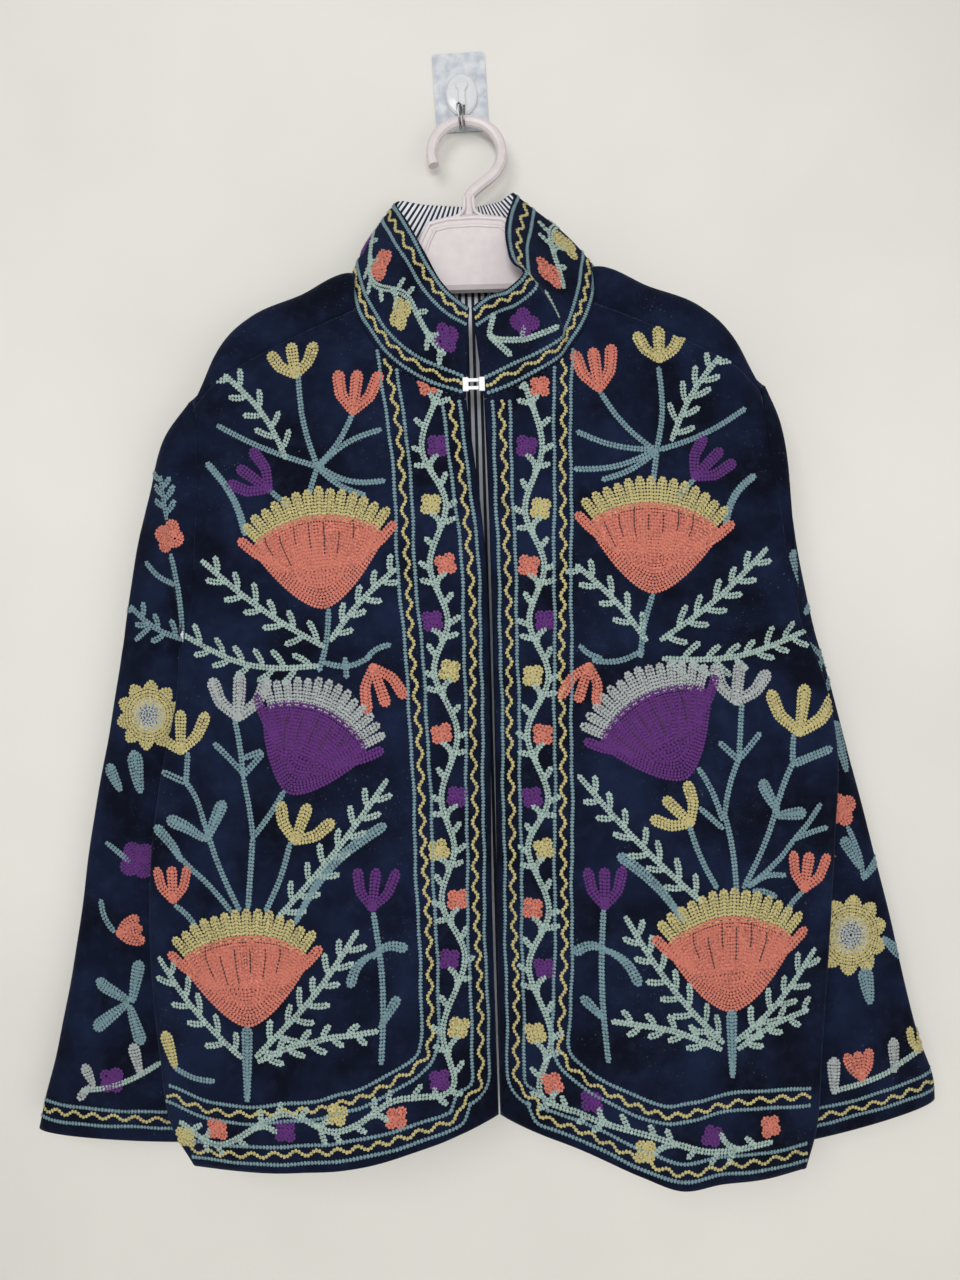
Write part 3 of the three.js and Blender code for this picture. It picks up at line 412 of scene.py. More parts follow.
# how far the left hem drops below its even curve, by its place from the front edge to the side
LEFT_HEM = rows("at drop", (0, 0), (0.3, 0), (0.45, 7), (0.58, 14), (0.72, 8.5), (0.88, 6), (1, 2))
HEM_DROP_ROW = 0.14  # the drop fades out by here
SHOULDER_DRAW_ROW = 0.86  # from here up a front is drawn to the shoulder seam


def front_point(name, u, v):
    """Outer face of a front: u from front edge (0) to side (1), v from the hem to the shoulder seam."""
    p = front_hang(name, u, v)
    if name == "left":
        drop = column(LEFT_HEM, "drop", min(u, FRONT_ROUND) / FRONT_ROUND)
        p.z -= drop * max(0.0, 1 - v / HEM_DROP_ROW) ** 1.5
    draw = smooth(v, SHOULDER_DRAW_ROW, 1)
    if draw > 0:
        seam = place(FORWARD_SEAM, u) + Vector((0, 0, -SEAM_GAP))
        p += (seam - front_hang(name, u, 1)) * draw
    if u == 1:
        p += Vector((-SEAM_GAP / 2, -SEAM_GAP / 2, 0))
    p.x *= SIDES[name]["sign"]
    return p


def back_outer(name, v):
    if v <= BACK_UNDERARM_ROW:
        return side_seam(name, v / BACK_UNDERARM_ROW)
    above = (v - BACK_UNDERARM_ROW) / (1 - BACK_UNDERARM_ROW)
    return armhole(SIDES[name], lerp(-180, BACK_LINE_ANGLE, above))


def back_hang(name, u, v):
    outer = back_outer(name, v)
    radius = fold_radius(v, BACK_UNDERARM_ROW)
    turn = turn_angle(u, BACK_ROUND)
    across = min(u, BACK_ROUND) / BACK_ROUND
    line = place(SHOULDER, u)
    inward = 1 - across**6
    lean = smooth(v, 0.3, 1) * inward
    flat_x = across * (outer.x - SIDE_FOLD_RADIUS) + SIDE_FOLD_RADIUS * math.sin(turn)
    x = lerp(flat_x, line.x, lean)
    step = smooth(x, column(BACK_HANG, "inner", v), column(BACK_HANG, "outer", v))
    fold = fold_depth(BACK_FOLDS, across * SIDES[name]["sign"], v) * (1 - step)
    bowl = across**2
    sag = line.z - lerp(SHOULDER[0]["z"], SHOULDER[-1]["z"], bowl)
    rise = sag * smooth(v, 0.6, 1) * inward
    y = lerp(column(BACK_HANG, "y", v), outer.y + radius, step) - fold
    z = lerp(column(BACK_HANG, "z", v), outer.z, bowl) + rise
    return Vector((x, y - radius * (1 - math.cos(turn)), z))


def back_turn(name, u, w):
    """Back over the shoulder, from its shoulder line (w = 0) to the neckline or the forward seam (w = 1)."""
    if u == 1:
        return armhole(SIDES[name], lerp(BACK_LINE_ANGLE, FORWARD_SEAM_ANGLE, w))
    start = back_hang(name, u, 1)
    if u <= NECK_COLUMNS:
        end = neckline(name, 1 - u) + Vector((SEAM_GAP * math.sin(math.pi * u), 0, -SEAM_GAP))
    else:
        end = place(FORWARD_SEAM, (u - NECK_COLUMNS) / (1 - NECK_COLUMNS))
    turn = math.radians(column(SHOULDER, "turn", u))
    reach = column(SHOULDER, "reach", u)
    up = start + Vector((0, 0, column(SHOULDER, "rise", u)))
    over = end - Vector((0, -math.sin(turn) * reach, math.cos(turn) * reach))
    a, b, c, d = (1 - w) ** 3, 3 * w * (1 - w) ** 2, 3 * w * w * (1 - w), w**3
    return start * a + up * b + over * c + end * d


def back_point(u, v):
    """Outer face of the back: u from right side (-1) to left (1), v from the hem over the shoulder."""
    name = "right" if u < 0 else "left"
    half = abs(u)
    if v <= BACK_LINE_ROW:
        p = back_hang(name, half, v / BACK_LINE_ROW)
    else:
        p = back_turn(name, half, (v - BACK_LINE_ROW) / (1 - BACK_LINE_ROW))
    if half == 1:
        p += Vector((-SEAM_GAP / 2, SEAM_GAP / 2, 0))
    p.x *= SIDES[name]["sign"]
    return p


def sleeve_point(name, angle, at):
    """Outer face of a sleeve: angle round the ring from its outer edge forwards, at from armhole to cuff."""
    side = SIDES[name]
    first = rows(
        RING_KEYS,
        (0, *SHOULDER_TIP, side["underarm"], UNDERARM_Y, UNDERARM_Z, ARMHOLE_FRONT_DEPTH, ARMHOLE_BACK_DEPTH),
    )
    ring = {key: column(first + SLEEVE_RINGS[name], key, at) for key in RING_KEYS.split()[1:]}
    c, s = math.cos(math.radians(angle)), math.sin(math.radians(angle))
    down = (1 - c) / 2
    flat = lerp(1, 0.72, smooth(at, 0, 0.4))
    shape = math.copysign(abs(s) ** flat, s)
    near = 1 - clamp01(at / 0.1)
    bow = (side["bow_front"] if s > 0 else side["bow_back"]) * abs(s) * near**2
    ease = UNDERARM_EASE * down**3 * near
    depth = ring["front"] if s > 0 else ring["back"]
    x = lerp(ring["out_x"], ring["in_x"], down) - bow + SEAM_GAP / 2
    y = lerp(ring["out_y"], ring["in_y"], down) - depth * shape + ease
    return Vector((x * side["sign"], y, lerp(ring["out_z"], ring["in_z"], down)))


def out_of_neck(p):
    return Vector((p.x, (p.y - BODY_MIDDLE_Y) * 1.6, 0)).normalized()


def collar_point(t, up):
    """Outer face of the collar: t from the right front end (-1) round the back (0) to the left end (1)."""
    name = "right" if t < 0 else "left"
    at = 1 - abs(t)
    p = neckline(name, at).lerp(place(COLLAR_TOP[name], at), up)
    push = 0.0
    if name == "left":
        for crease in COLLAR_CREASES:
            offset = (at - crease["at"] - crease["lean"] * (1 - up)) / crease["wide"]
            push += crease["deep"] * math.exp(-offset * offset)
    swell = COLLAR_CROWN[name] * math.sin(math.pi * up) * min(1, at * 6)
    p += out_of_neck(p) * (swell + push * min(1, up * 3 + 0.2))
    p.x *= SIDES[name]["sign"]
    return p


# ---------------------------------------------------------------- materials

# What each piece is made of is judged by its look. Grains finer than about a millimetre wouldn't show, so
# they are drawn coarser than the real ones.


def rgb(code):
    """Scene-linear colour of an sRGB hex code."""
    parts = [int(code[k : k + 2], 16) / 255 for k in (1, 3, 5)]
    return [c / 12.92 if c <= 0.04045 else ((c + 0.055) / 1.055) ** 2.4 for c in parts] + [1.0]


def node(tree, kind, inputs=None, out=0, **settings):
    """Adds a node; each input is a constant or another node's output. Gives one of the node's own outputs."""
    made = tree.nodes.new(kind)
    for key, value in settings.items():
        setattr(made, key, value)
    for key, value in (inputs or {}).items():
        if isinstance(value, bpy.types.NodeSocket):
            tree.links.new(value, made.inputs[key])
        else:
            made.inputs[key].default_value = value
    return made.outputs[out] if made.outputs else None


COLOURS = {"out": 2, "data_type": "RGBA"}  # a Mix node of colours: factor 0, from 6, to 7


def blotches(tree, size_mm, low, high, detail=3.0):
    """Value from 0 to 1 that varies over about size_mm, between the noise levels low and high."""
    here = node(tree, "ShaderNodeTexCoord", out="Object")
    place_mm = node(tree, "ShaderNodeVectorMath", {0: here, "Scale": 1 / MM}, operation="SCALE")
    noise = node(tree, "ShaderNodeTexNoise", {"Vector": place_mm, "Scale": 1 / size_mm, "Detail": detail})
    return node(tree, "ShaderNodeMapRange", {"Value": noise, "From Min": low, "From Max": high})


def material(name, finish, *details):
    """New material; finish adds its nodes and gives the shader's inputs."""
    made = bpy.data.materials.new(name)
    made.use_nodes = True
    tree = made.node_tree
    tree.nodes.clear()
    shader = node(tree, "ShaderNodeBsdfPrincipled", finish(tree, *details))
    node(tree, "ShaderNodeOutputMaterial", {"Surface": shader})
    return made


def woven_velvet(tree):
    """Cotton velvet, woven with a cut pile. The pile swallows light, so the cloth looks nearly black; it is
    bluer where the nap lies over, paler where it is rubbed, and it holds dust."""
    nap = blotches(tree, 46, 0.36, 0.68)
    rubbed = blotches(tree, 9, 0.5, 0.82, 5.0)
    rubbed = node(tree, "ShaderNodeMath", {0: rubbed, 1: 0.2}, operation="MULTIPLY")
    dust = {0: blotches(tree, 1.7, 0.7, 0.78, 1.0), 1: blotches(tree, 60, 0.5, 0.75)}
    dust = node(tree, "ShaderNodeMath", dust, operation="MULTIPLY")
    base = node(tree, "ShaderNodeMix", {0: nap, 6: rgb("#070b19"), 7: rgb("#131d36")}, **COLOURS)
    base = node(tree, "ShaderNodeMix", {0: rubbed, 6: base, 7: rgb("#2a3450")}, **COLOURS)
    base = node(tree, "ShaderNodeMix", {0: dust, 6: base, 7: rgb("#5d6475")}, **COLOURS)
    pile = blotches(tree, 1.2, 0.3, 0.7)
    return {
        "Base Color": base,
        "Roughness": 0.9,
        "Specular IOR Level": 0.08,
        "Sheen Weight": 0.16,
        "Sheen Roughness": 0.3,
        "Sheen Tint": rgb("#7f8fb4"),
        "Normal": node(tree, "ShaderNodeBump", {"Height": pile, "Strength": 0.5, "Distance": 0.5 * MM}),
    }


STRIPE_PITCH, PALE_SHARE = 5.6, 0.52  # one repeat in millimetres, and how much of it is pale


def woven_lining(tree):
    """Plain-woven cotton with dyed-in stripes: matt, with hard edges between its dark and pale yarns."""
    across = node(tree, "ShaderNodeSeparateXYZ", {0: node(tree, "ShaderNodeUVMap", uv_map="cloth")})
    repeats = node(tree, "ShaderNodeMath", {0: across, 1: STRIPE_PITCH * MM}, operation="DIVIDE")
    at = node(tree, "ShaderNodeMath", {0: repeats}, operation="FRACT")
    dark = node(tree, "ShaderNodeMath", {0: at, 1: PALE_SHARE}, operation="GREATER_THAN")
    uneven = blotches(tree, 16, 0.3, 0.7)
    pale = node(tree, "ShaderNodeMix", {0: uneven, 6: rgb("#cfd4de"), 7: rgb("#e4e7ed")}, **COLOURS)
    weave = blotches(tree, 0.8, 0.3, 0.7, 1.0)
    return {
        "Base Color": node(tree, "ShaderNodeMix", {0: dark, 6: pale, 7: rgb("#141827")}, **COLOURS),
        "Roughness": 0.8,
        "Sheen Weight": 0.1,
        "Sheen Roughness": 0.4,
        "Normal": node(tree, "ShaderNodeBump", {"Height": weave, "Strength": 0.25, "Distance": 0.2 * MM}),
    }


THREADS = {
    "coral": "#bf6e5d",
    "mustard": "#b1a873",
    "purple": "#4e0f68",
    "teal": "#68868f",
    "sage": "#94aba5",
    "silver": "#9ba2a3",
    # painted shadow: a dark thread laid in the fans' slits
    "shadow": "#2c1a26",
}
THREAD_PAINTED_SHADE, THREAD_PAINTED_HIGHLIGHT = 0.42, 1.38  # factors of a thread's colour for its painted shade in the hollows and its painted highlight on the crowns


def stranded_thread(tree, code):
    """Stranded cotton in chain stitch: soft and matt, its colour carrying painted shading, darker where the
    thread turns in, and a painted highlight, paler where it stands out."""
    colour = rgb(code)
    # painted shade and painted highlight: the thread's colour darkened for its hollows and lightened for its
    # crowns, mixed in random blotches of about 1.6 mm
    shade = [c * THREAD_PAINTED_SHADE for c in colour[:3]] + [1.0]
    tint = [min(1.0, c * THREAD_PAINTED_HIGHLIGHT) for c in colour[:3]] + [1.0]
    painted_shading_mask = blotches(tree, 1.6, 0.32, 0.68, 2.0)
    faded = blotches(tree, 22, 0.35, 0.75)
    fibres = blotches(tree, 0.5, 0.3, 0.7, 1.0)
    # mixes the painted shade and the painted highlight into the thread's colour
    base = node(tree, "ShaderNodeMix", {0: painted_shading_mask, 6: shade, 7: tint}, **COLOURS)
    return {
        "Base Color": node(tree, "ShaderNodeMix", {0: faded, 6: base, 7: colour}, **COLOURS),
        "Roughness": 0.7,
        "Sheen Weight": 0.25,
        "Sheen Roughness": 0.4,
        "Normal": node(tree, "ShaderNodeBump", {"Height": fibres, "Strength": 0.4, "Distance": 0.2 * MM}),
    }


def even_finish(tree, roughness, code, other=None, clear=0.0, metallic=0.0):
    """Moulded plastic or drawn wire: smooth, with the slight waviness that the mould or die leaves. other is
    a second tone that clouds a plastic."""
    base = rgb(code)
    if other:
        clouds = blotches(tree, 9, 0.35, 0.7)
        base = node(tree, "ShaderNodeMix", {0: clouds, 6: base, 7: rgb(other)}, **COLOURS)
    waves = blotches(tree, 3, 0.3, 0.7)
    return {
        "Base Color": base,
        "Roughness": roughness,
        "Metallic": metallic,
        "Transmission Weight": clear,
        "Normal": node(tree, "ShaderNodeBump", {"Height": waves, "Strength": 0.08, "Distance": 0.2 * MM}),
    }


def rolled_paint(tree):
    """Matt wall paint put on with a roller, which leaves a low, rounded grain."""
    tones = {0: blotches(tree, 300, 0.35, 0.65), 6: rgb("#dbdbd6"), 7: rgb("#d4d4cf")}
    grain = blotches(tree, 14, 0.3, 0.7, 4.0)
    return {
        "Base Color": node(tree, "ShaderNodeMix", tones, **COLOURS),
        "Roughness": 0.9,
        "Normal": node(tree, "ShaderNodeBump", {"Height": grain, "Strength": 0.25, "Distance": 0.5 * MM}),
    }


velvet = material("velvet", woven_velvet)
lining = material("striped_lining", woven_lining)
threads = {name: material("thread_" + name, stranded_thread, code) for name, code in THREADS.items()}
thread_names = list(THREADS)
# moulded polystyrene, opaque: soft highlights on a faintly pink white
hanger_plastic = material("hanger_plastic", even_finish, 0.38, "#cec7ca", "#d6cfd1")
# moulded nylon: a cool white, a little glossier than the hanger
clasp_white = material("clasp_white", even_finish, 0.3, "#dfe4e8")
# moulded polypropylene with a frosted face: pale, cloudy and slightly see-through
frosted = material("frosted_plastic", even_finish, 0.4, "#b9c1cd", "#e2e6ea", 0.15)
# moulded polycarbonate: sharp highlights, and see-through in part
clear_plastic = material("clear_plastic", even_finish, 0.1, "#eff3f7", None, 0.3)
# drawn stainless steel: a grey metal with blurred reflections
steel = material("steel_wire", even_finish, 0.3, "#8d8d92", None, 0.0, 1.0)

# ---------------------------------------------------------------- cloth


def crease_depth(table, x, z):
    """Depth of the creases at a place: each a wavy trough between two low ridges, fading at both ends."""
    depth = 0.0
    for c in table:
        ax, az, bx, bz = c["x"], c["z"], c["x2"], c["z2"]
        dx, dz = bx - ax, bz - az
        length = math.hypot(dx, dz)
        along = ((x - ax) * dx + (z - az) * dz) / length**2
        if -0.1 < along < 1.1:
            side = ((x - ax) * dz - (z - az) * dx) / length / c["wide"]
            if abs(side) < 2.6:
                bend = side + 0.35 * math.sin(3.1 * along + c["deep"])
                fade = math.sin(math.pi * clamp01((along + 0.1) / 1.2)) ** 1.2
                ridges = 0.45 * math.exp(-((abs(bend) - 1.6) ** 2) * 2)
                depth += c["deep"] * fade * (math.exp(-bend * bend) - ridges)
    return depth


def ripple(x, z, seed):
    """Slight unevenness of hanging cloth, in millimetres."""
    wave = math.sin(x / 31 + 1.7 * math.sin(z / 83 + seed) + seed) * math.sin(z / 57 + x / 140 + 2 * seed)
    return 0.55 * wave + 0.3 * math.sin(x / 13 + z / 29 + seed) * math.sin(z / 21 - x / 47 + seed)


REAR_CREASE_DROP, REAR_RIPPLE = 40, 3  # a sleeve's rear repeats its creases lower, and ripples otherwise


def rise_from_edges(count, before, width):
    """From 0 at a grid's edges to 1, width steps in; before is how far in the first edge already is."""
    k = np.arange(count)
    return np.clip(np.minimum(k + before, k[::-1]) / width, 0, 1)


class Panel:
    """A cloth piece: its outer face as a fine grid with creases, and the way that the face looks."""

    def __init__(self, name, point, us, vs, turn, seed=0.0):
        self.name, self.us, self.vs, self.turn = name, us, vs, turn
        self.loop = name.startswith("sleeve")
        creases = CREASES.get(name, ())
        grid = np.array([[point(u, v) for u in us] for v in vs])
        normals = self.face(grid)
        height = np.zeros(grid.shape[:2])
        for j, i in np.ndindex(height.shape):
            x, _, z = grid[j, i]
            facing = normals[j, i, 1]
            rear = self.loop and facing > 0
            across = x if name == "back" else abs(x)
            depth = crease_depth(creases, across, z + REAR_CREASE_DROP * rear)
            height[j, i] = -depth * min(1.0, abs(facing) * 1.4) - ripple(x, z, seed + REAR_RIPPLE * rear)
        if not self.loop:
            height *= rise_from_edges(len(us), 0, 4)
        height *= rise_from_edges(len(vs), 2, 5)[:, None]
        self.grid = grid + normals * height[..., None]
        self.normals = self.face(self.grid)

    def face(self, grid):
        """Outward unit vector at each point of the grid."""
        if self.loop:
            du = np.roll(grid, -1, 1) - np.roll(grid, 1, 1)
        else:
            du = np.gradient(grid, axis=1)
        dv = np.gradient(grid, axis=0)
        n = np.cross(du, dv) * self.turn
        return n / np.maximum(np.linalg.norm(n, axis=2, keepdims=True), 1e-9)

    def quads(self):
        row_count, column_count = self.grid.shape[:2]
        spans = column_count if self.loop else column_count - 1
        j, i = np.meshgrid(np.arange(row_count - 1), np.arange(spans), indexing="ij")
        right = (i + 1) % column_count
        a, b = j * column_count + i, j * column_count + right
        c, d = (j + 1) * column_count + right, (j + 1) * column_count + i
        order = (a, b, c, d) if self.turn > 0 else (a, d, c, b)
        return np.stack(order, -1).reshape(-1, 4)

    def lengths(self):
        """Distance along each row and up each column, as cloth."""
        across = np.linalg.norm(np.diff(self.grid, axis=1), axis=2)
        up = np.linalg.norm(np.diff(self.grid, axis=0), axis=2)
        across = np.concatenate([np.zeros((len(self.vs), 1)), np.cumsum(across, 1)], 1)
        up = np.concatenate([np.zeros((1, len(self.us))), np.cumsum(up, 0)], 0)
        return across, up

    def area(self):
        """Area of the outer face in square metres."""
        q = self.quads()
        p = self.grid.reshape(-1, 3)
        a, b, c, d = (p[q[:, k]] for k in range(4))
        cross = np.cross(b - a, c - a), np.cross(c - a, d - a)
        return sum(np.linalg.norm(x, axis=1).sum() for x in cross) / 2 * MM**2

    def tree(self):
        points = [Vector(p) for p in self.grid.reshape(-1, 3)]
        return BVHTree.FromPolygons(points, self.quads().tolist())


def mesh_object(name, points, faces, materials, smooth_shading=True):
    """Object from points in metres about the wall hook, and an array of faces of one size."""
    mesh = bpy.data.meshes.new(name)
    points = np.asarray(points, dtype=np.float32)
    faces = np.asarray(faces, dtype=np.int32)
    size = faces.shape[1]
    mesh.vertices.add(len(points))
    mesh.vertices.foreach_set("co", points.ravel())
    mesh.loops.add(faces.size)
    mesh.loops.foreach_set("vertex_index", faces.ravel())
    mesh.polygons.add(len(faces))
    mesh.polygons.foreach_set("loop_start", np.arange(0, faces.size, size, dtype=np.int32))
    mesh.polygons.foreach_set("use_smooth", np.full(len(faces), smooth_shading))
    for item in materials:
        mesh.materials.append(item)
    mesh.update(calc_edges=True)
    mesh.validate()
    made = bpy.data.objects.new(name, mesh)
    bpy.context.scene.collection.objects.link(made)
    return made


def to_metres(points):
    """From millimetres about the jacket's middle plane to metres about the wall hook."""
    return (np.asarray(points) + [GARMENT_X, 0, 0]) * MM


# round each neck point the back's grid folds over itself, and its inside would show
NECK_POINT_X, NECK_POINT_REACH, NECK_POINT_LOW, NECK_POINT_HIGH = 96, 10, -232, -162
VELVET_SLOT, LINING_SLOT, DOUBLE_VELVET_SLOT = 0, 1, 2


def cloth_object(panel):
    """Thin shell on the panel, velvet outside and striped inside."""
    quads = panel.quads()
    points = panel.grid.reshape(-1, 3)
    made = mesh_object(panel.name + "_cloth", to_metres(points), quads, [velvet, lining, velvet])
    if panel.name == "back":
        # there the shell has velvet on both sides
        x, _, z = points[quads].mean(1).T
        folded = abs(abs(x) - NECK_POINT_X) < NECK_POINT_REACH
        folded &= (z > NECK_POINT_LOW) & (z < NECK_POINT_HIGH)
        slots = np.where(folded, DOUBLE_VELVET_SLOT, VELVET_SLOT)
        made.data.polygons.foreach_set("material_index", slots.astype(np.int32))
    across, up = panel.lengths()
    if panel.name == "collar":
        across = np.broadcast_to(across[len(across) // 2], across.shape)
    else:
        across = panel.grid[..., 0]
    uv = np.stack([across, up], -1).reshape(-1, 2) * MM
    layer = made.data.uv_layers.new(name="cloth")
    corners = np.empty(len(made.data.loops), dtype=np.int32)
    made.data.loops.foreach_get("vertex_index", corners)
    layer.data.foreach_set("uv", uv[corners].astype(np.float32).ravel())
    shell = made.modifiers.new("shell", "SOLIDIFY")
    shell.thickness = SHELL * MM
    shell.offset = -1
    shell.material_offset = LINING_SLOT
    shell.material_offset_rim = VELVET_SLOT
    shell.use_even_offset = False
    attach(made, "root")
    return made


def steps(start, end, count):
    """Places at even spacing after start, the last of them at end."""
    return [start + (end - start) * k / count for k in range(1, count + 1)]


front_us = [0.0, *steps(0, FRONT_ROUND, 88), *steps(FRONT_ROUND, 1, 6)]
front_vs = sorted({0.0, *steps(0, 1, 150), UNDERARM_ROW, NECK_ROW})
back_half = [0.0, *steps(0, BACK_ROUND, 72), *steps(BACK_ROUND, 1, 7)]
back_us = [-u for u in back_half[:0:-1]] + back_half
back_vs = [0.0, *steps(0, BACK_LINE_ROW, 106), *steps(BACK_LINE_ROW, 1, 22)]
SLEEVE_HEAD = 0.1  # rows are closer together down to here
sleeve_angles = [0.0, *steps(0, 360, 84)[:-1]]
sleeve_rows = [0.0, *steps(0, SLEEVE_HEAD, 20), *steps(SLEEVE_HEAD, 1, 100)]
collar_us = [-1.0, *steps(-1, 1, 190)]
collar_vs = [0.0, *steps(0, 1, 26)]
FRONT_RIPPLE, BACK_RIPPLE, SLEEVE_RIPPLE = 0.8, 2.2, 1.3  # where their ripples start, so that no two match

panels = {}
for side_name, side in SIDES.items():
    name, sign = "front_" + side_name, side["sign"]
    panels[name] = Panel(name, partial(front_point, side_name), front_us, front_vs, sign, sign * FRONT_RIPPLE)
panels["back"] = Panel("back", back_point, back_us, back_vs, -1, BACK_RIPPLE)
for side_name, side in SIDES.items():
    name, sign = "sleeve_" + side_name, side["sign"]
    point = partial(sleeve_point, side_name)
    panels[name] = Panel(name, point, sleeve_angles, sleeve_rows, sign, sign * SLEEVE_RIPPLE)
panels["collar"] = Panel("collar", collar_point, collar_us, collar_vs, -1)

cloth = {name: cloth_object(panel) for name, panel in panels.items()}
for name, made in cloth.items():
    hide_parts(name)
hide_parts("back_lining")
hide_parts("collar_lining")

# ---------------------------------------------------------------- chain stitch

ROW = 2.4  # spacing of rows of chain stitch
LINK_PITCH = 2.79  # from one link to the next
LINK_WIDTH = 2.8
LINK_HEIGHT = 1.15
SHORTEST_ROW, SHORTEST_LINK, LONGEST_LINK = 0.6, 0.4, 9


def resampled(points, pitch):
    """Points at even spacing of about pitch along a path, both ends kept."""
    points = np.asarray(points, dtype=float)
    step = np.linalg.norm(np.diff(points, axis=0), axis=1)
    at = np.concatenate([[0], np.cumsum(step)])
    if at[-1] < SHORTEST_ROW:
        return points[:1]
    count = max(1, round(at[-1] / pitch))
    wanted = np.linspace(0, at[-1], count + 1)
    return np.stack([np.interp(wanted, at, points[:, k]) for k in range(2)], -1)


class Work:
    """Rows of chain stitch on one surface, in its own flat millimetres."""

    def __init__(self, seed):
        self.starts, self.ends, self.colours, self.shapes = [], [], [], []
        self.random = random.Random(seed)

    def row(self, points, colour, wide=1.0, lift=0.0):
        p = resampled(points, LINK_PITCH)
        if len(p) < 2:
            return
        self.starts.append(p[:-1])
        self.ends.append(p[1:])
        self.colours.append(np.full(len(p) - 1, thread_names.index(colour)))
        self.shapes.append(np.tile([wide, lift], (len(p) - 1, 1)))

    def gathered(self):
        return [np.concatenate(x) for x in (self.starts, self.ends, self.colours, self.shapes)]


def arc(a, b, bend, count=14):
    """Path from a to b, bowed sideways by bend at its middle."""
    a, b = np.array(a, dtype=float), np.array(b, dtype=float)
    d = b - a
    length = max(1e-6, np.hypot(*d))
    side = np.array([-d[1], d[0]]) / length
    t = np.linspace(0, 1, count)[:, None]
    return a + d * t + side * bend * np.sin(np.pi * t)


def beside(path, offset):
    """The path moved sideways; offset may differ from point to point."""
    tangent = np.gradient(path, axis=0)
    tangent /= np.maximum(np.linalg.norm(tangent, axis=1, keepdims=True), 1e-9)
    side = np.stack([-tangent[:, 1], tangent[:, 0]], -1)
    return path + side * np.reshape(offset, (-1, 1))


def capsule(work, path, half, colour, point=0.0, lift=0.0):
    """Round-ended bar filled with rows that follow its outline. point narrows it towards its start."""
    path = resampled(path, 1.5)
    at = np.linspace(0, 1, len(path))
    width = half * (1 - point * (1 - at) ** 1.6)
    inset = ROW / 2
    while inset < half + 0.8:
        keep = np.maximum(width - inset, 0.15)
        left, right = beside(path, keep), beside(path, -keep)
        end = path[-1] - path[-2]
        end = end / max(1e-6, np.hypot(*end)) * max(half - inset, 0)
        tip = [path[-1] + end * 0.9]
        start = path[1] - path[0]
        start = start / max(1e-6, np.hypot(*start)) * max(half * (1 - point) - inset, 0)
        outline = np.concatenate([[path[0] - start], left, tip, right[::-1], [path[0] - start]])
        work.row(outline, colour, 1.0, lift)
        inset += ROW


def unit(base, tip):
    """Unit vectors along and across, and the length, of base to tip."""
    d = np.array(tip, dtype=float) - np.array(base, dtype=float)
    length = np.hypot(*d)
    along = d / length
    return along, np.array([-along[1], along[0]]), length


# half widths of the filled bars that the motifs are made of
STEM_HALF, LEAF_HALF, PETAL_HALF, LEAFLET_HALF, VINE_HALF = 2.3, 5.6, 4.6, 2.6, 2.4


def stem(work, colour, base, tip, bend, size):
    capsule(work, arc(base, tip, bend), STEM_HALF * max(1, size), colour)


def leaf(work, colour, base, tip, bend, size):
    capsule(work, arc(base, tip, bend), LEAF_HALF * size, colour, 0.45)


CLOSED_TULIPS = ("coral", "purple")


def tulip(work, colour, base, tip, bend, size):
    """Three round-ended petals that grow together at the foot."""
    along, across, length = unit(base, tip)
    base = np.array(base, dtype=float)
    turn = work.random.uniform(-0.1, 0.1)
    spread = (0.36, 0.5) if colour in CLOSED_TULIPS else (0.62, 0.8)
    for side, reach in ((-1, 0.98), (1, 0.92), (0, 1.0)):
        angle = side * work.random.uniform(*spread) + turn
        way = along * math.cos(angle) + across * math.sin(angle)
        middle = base + way * length * 0.45 + across * side * length * 0.16
        end = base + way * length * reach * 0.92 + across * side * length * 0.1
        end = end + along * abs(side) * length * 0.12
        path = resampled(np.array([base, middle, end]), 3)
        capsule(work, path, PETAL_HALF * size, colour, 0.28, 0.15 * (side == 0))


LEAFLET_STEP = 17.5


def sprig(work, colour, base, tip, bend, size):
    """Stem with round-ended leaflets in loose pairs."""
    path = arc(base, tip, bend, 40)
    capsule(work, path, STEM_HALF, colour)
    count = max(3, int(unit(base, tip)[2] / LEAFLET_STEP))
    for k in range(count):
        for side in (-1, 1):
            t = (k + 0.75 + 0.3 * side) / (count + 0.2)
            if t > 0.97:
                continue
            i = min(len(path) - 2, int(t * (len(path) - 1)))
            way = path[i + 1] - path[i]
            way = way / np.hypot(*way)
            out = np.array([-way[1], way[0]]) * side
            angle = work.random.uniform(0.65, 1.0)
            reach = size * work.random.uniform(14, 19) * (1 - 0.2 * t)
            end = path[i] + (way * math.cos(angle) + out * math.sin(angle)) * reach
            capsule(work, arc(path[i] + out * 1.5, end, 0.8 * side), LEAFLET_HALF, colour, 0.1)


def rosette(work, colour, base, tip, bend, size):
    """Four round lobes, filled from the rim inwards."""
    base = np.array(base, dtype=float)
    turn = work.random.uniform(-0.35, 0.35) + math.pi / 4
    for k in range(4):
        angle = turn + k * math.pi / 2 + work.random.uniform(-0.12, 0.12)
        centre = base + np.array([math.cos(angle), math.sin(angle)]) * 4.9 * size
        radius = work.random.uniform(4.7, 5.5) * size
        for inset in np.arange(ROW / 2, radius + 0.6, ROW * 0.85):
            a = np.linspace(0, 2 * math.pi, 22) + angle
            ring = centre + np.stack([np.cos(a), np.sin(a)], -1) * max(radius - inset, 0.5)
            work.row(ring, colour)
    work.row([base - [2, 1], base + [2, 1]], colour)
    work.row([base - [1, -2], base + [1, -2]], colour)


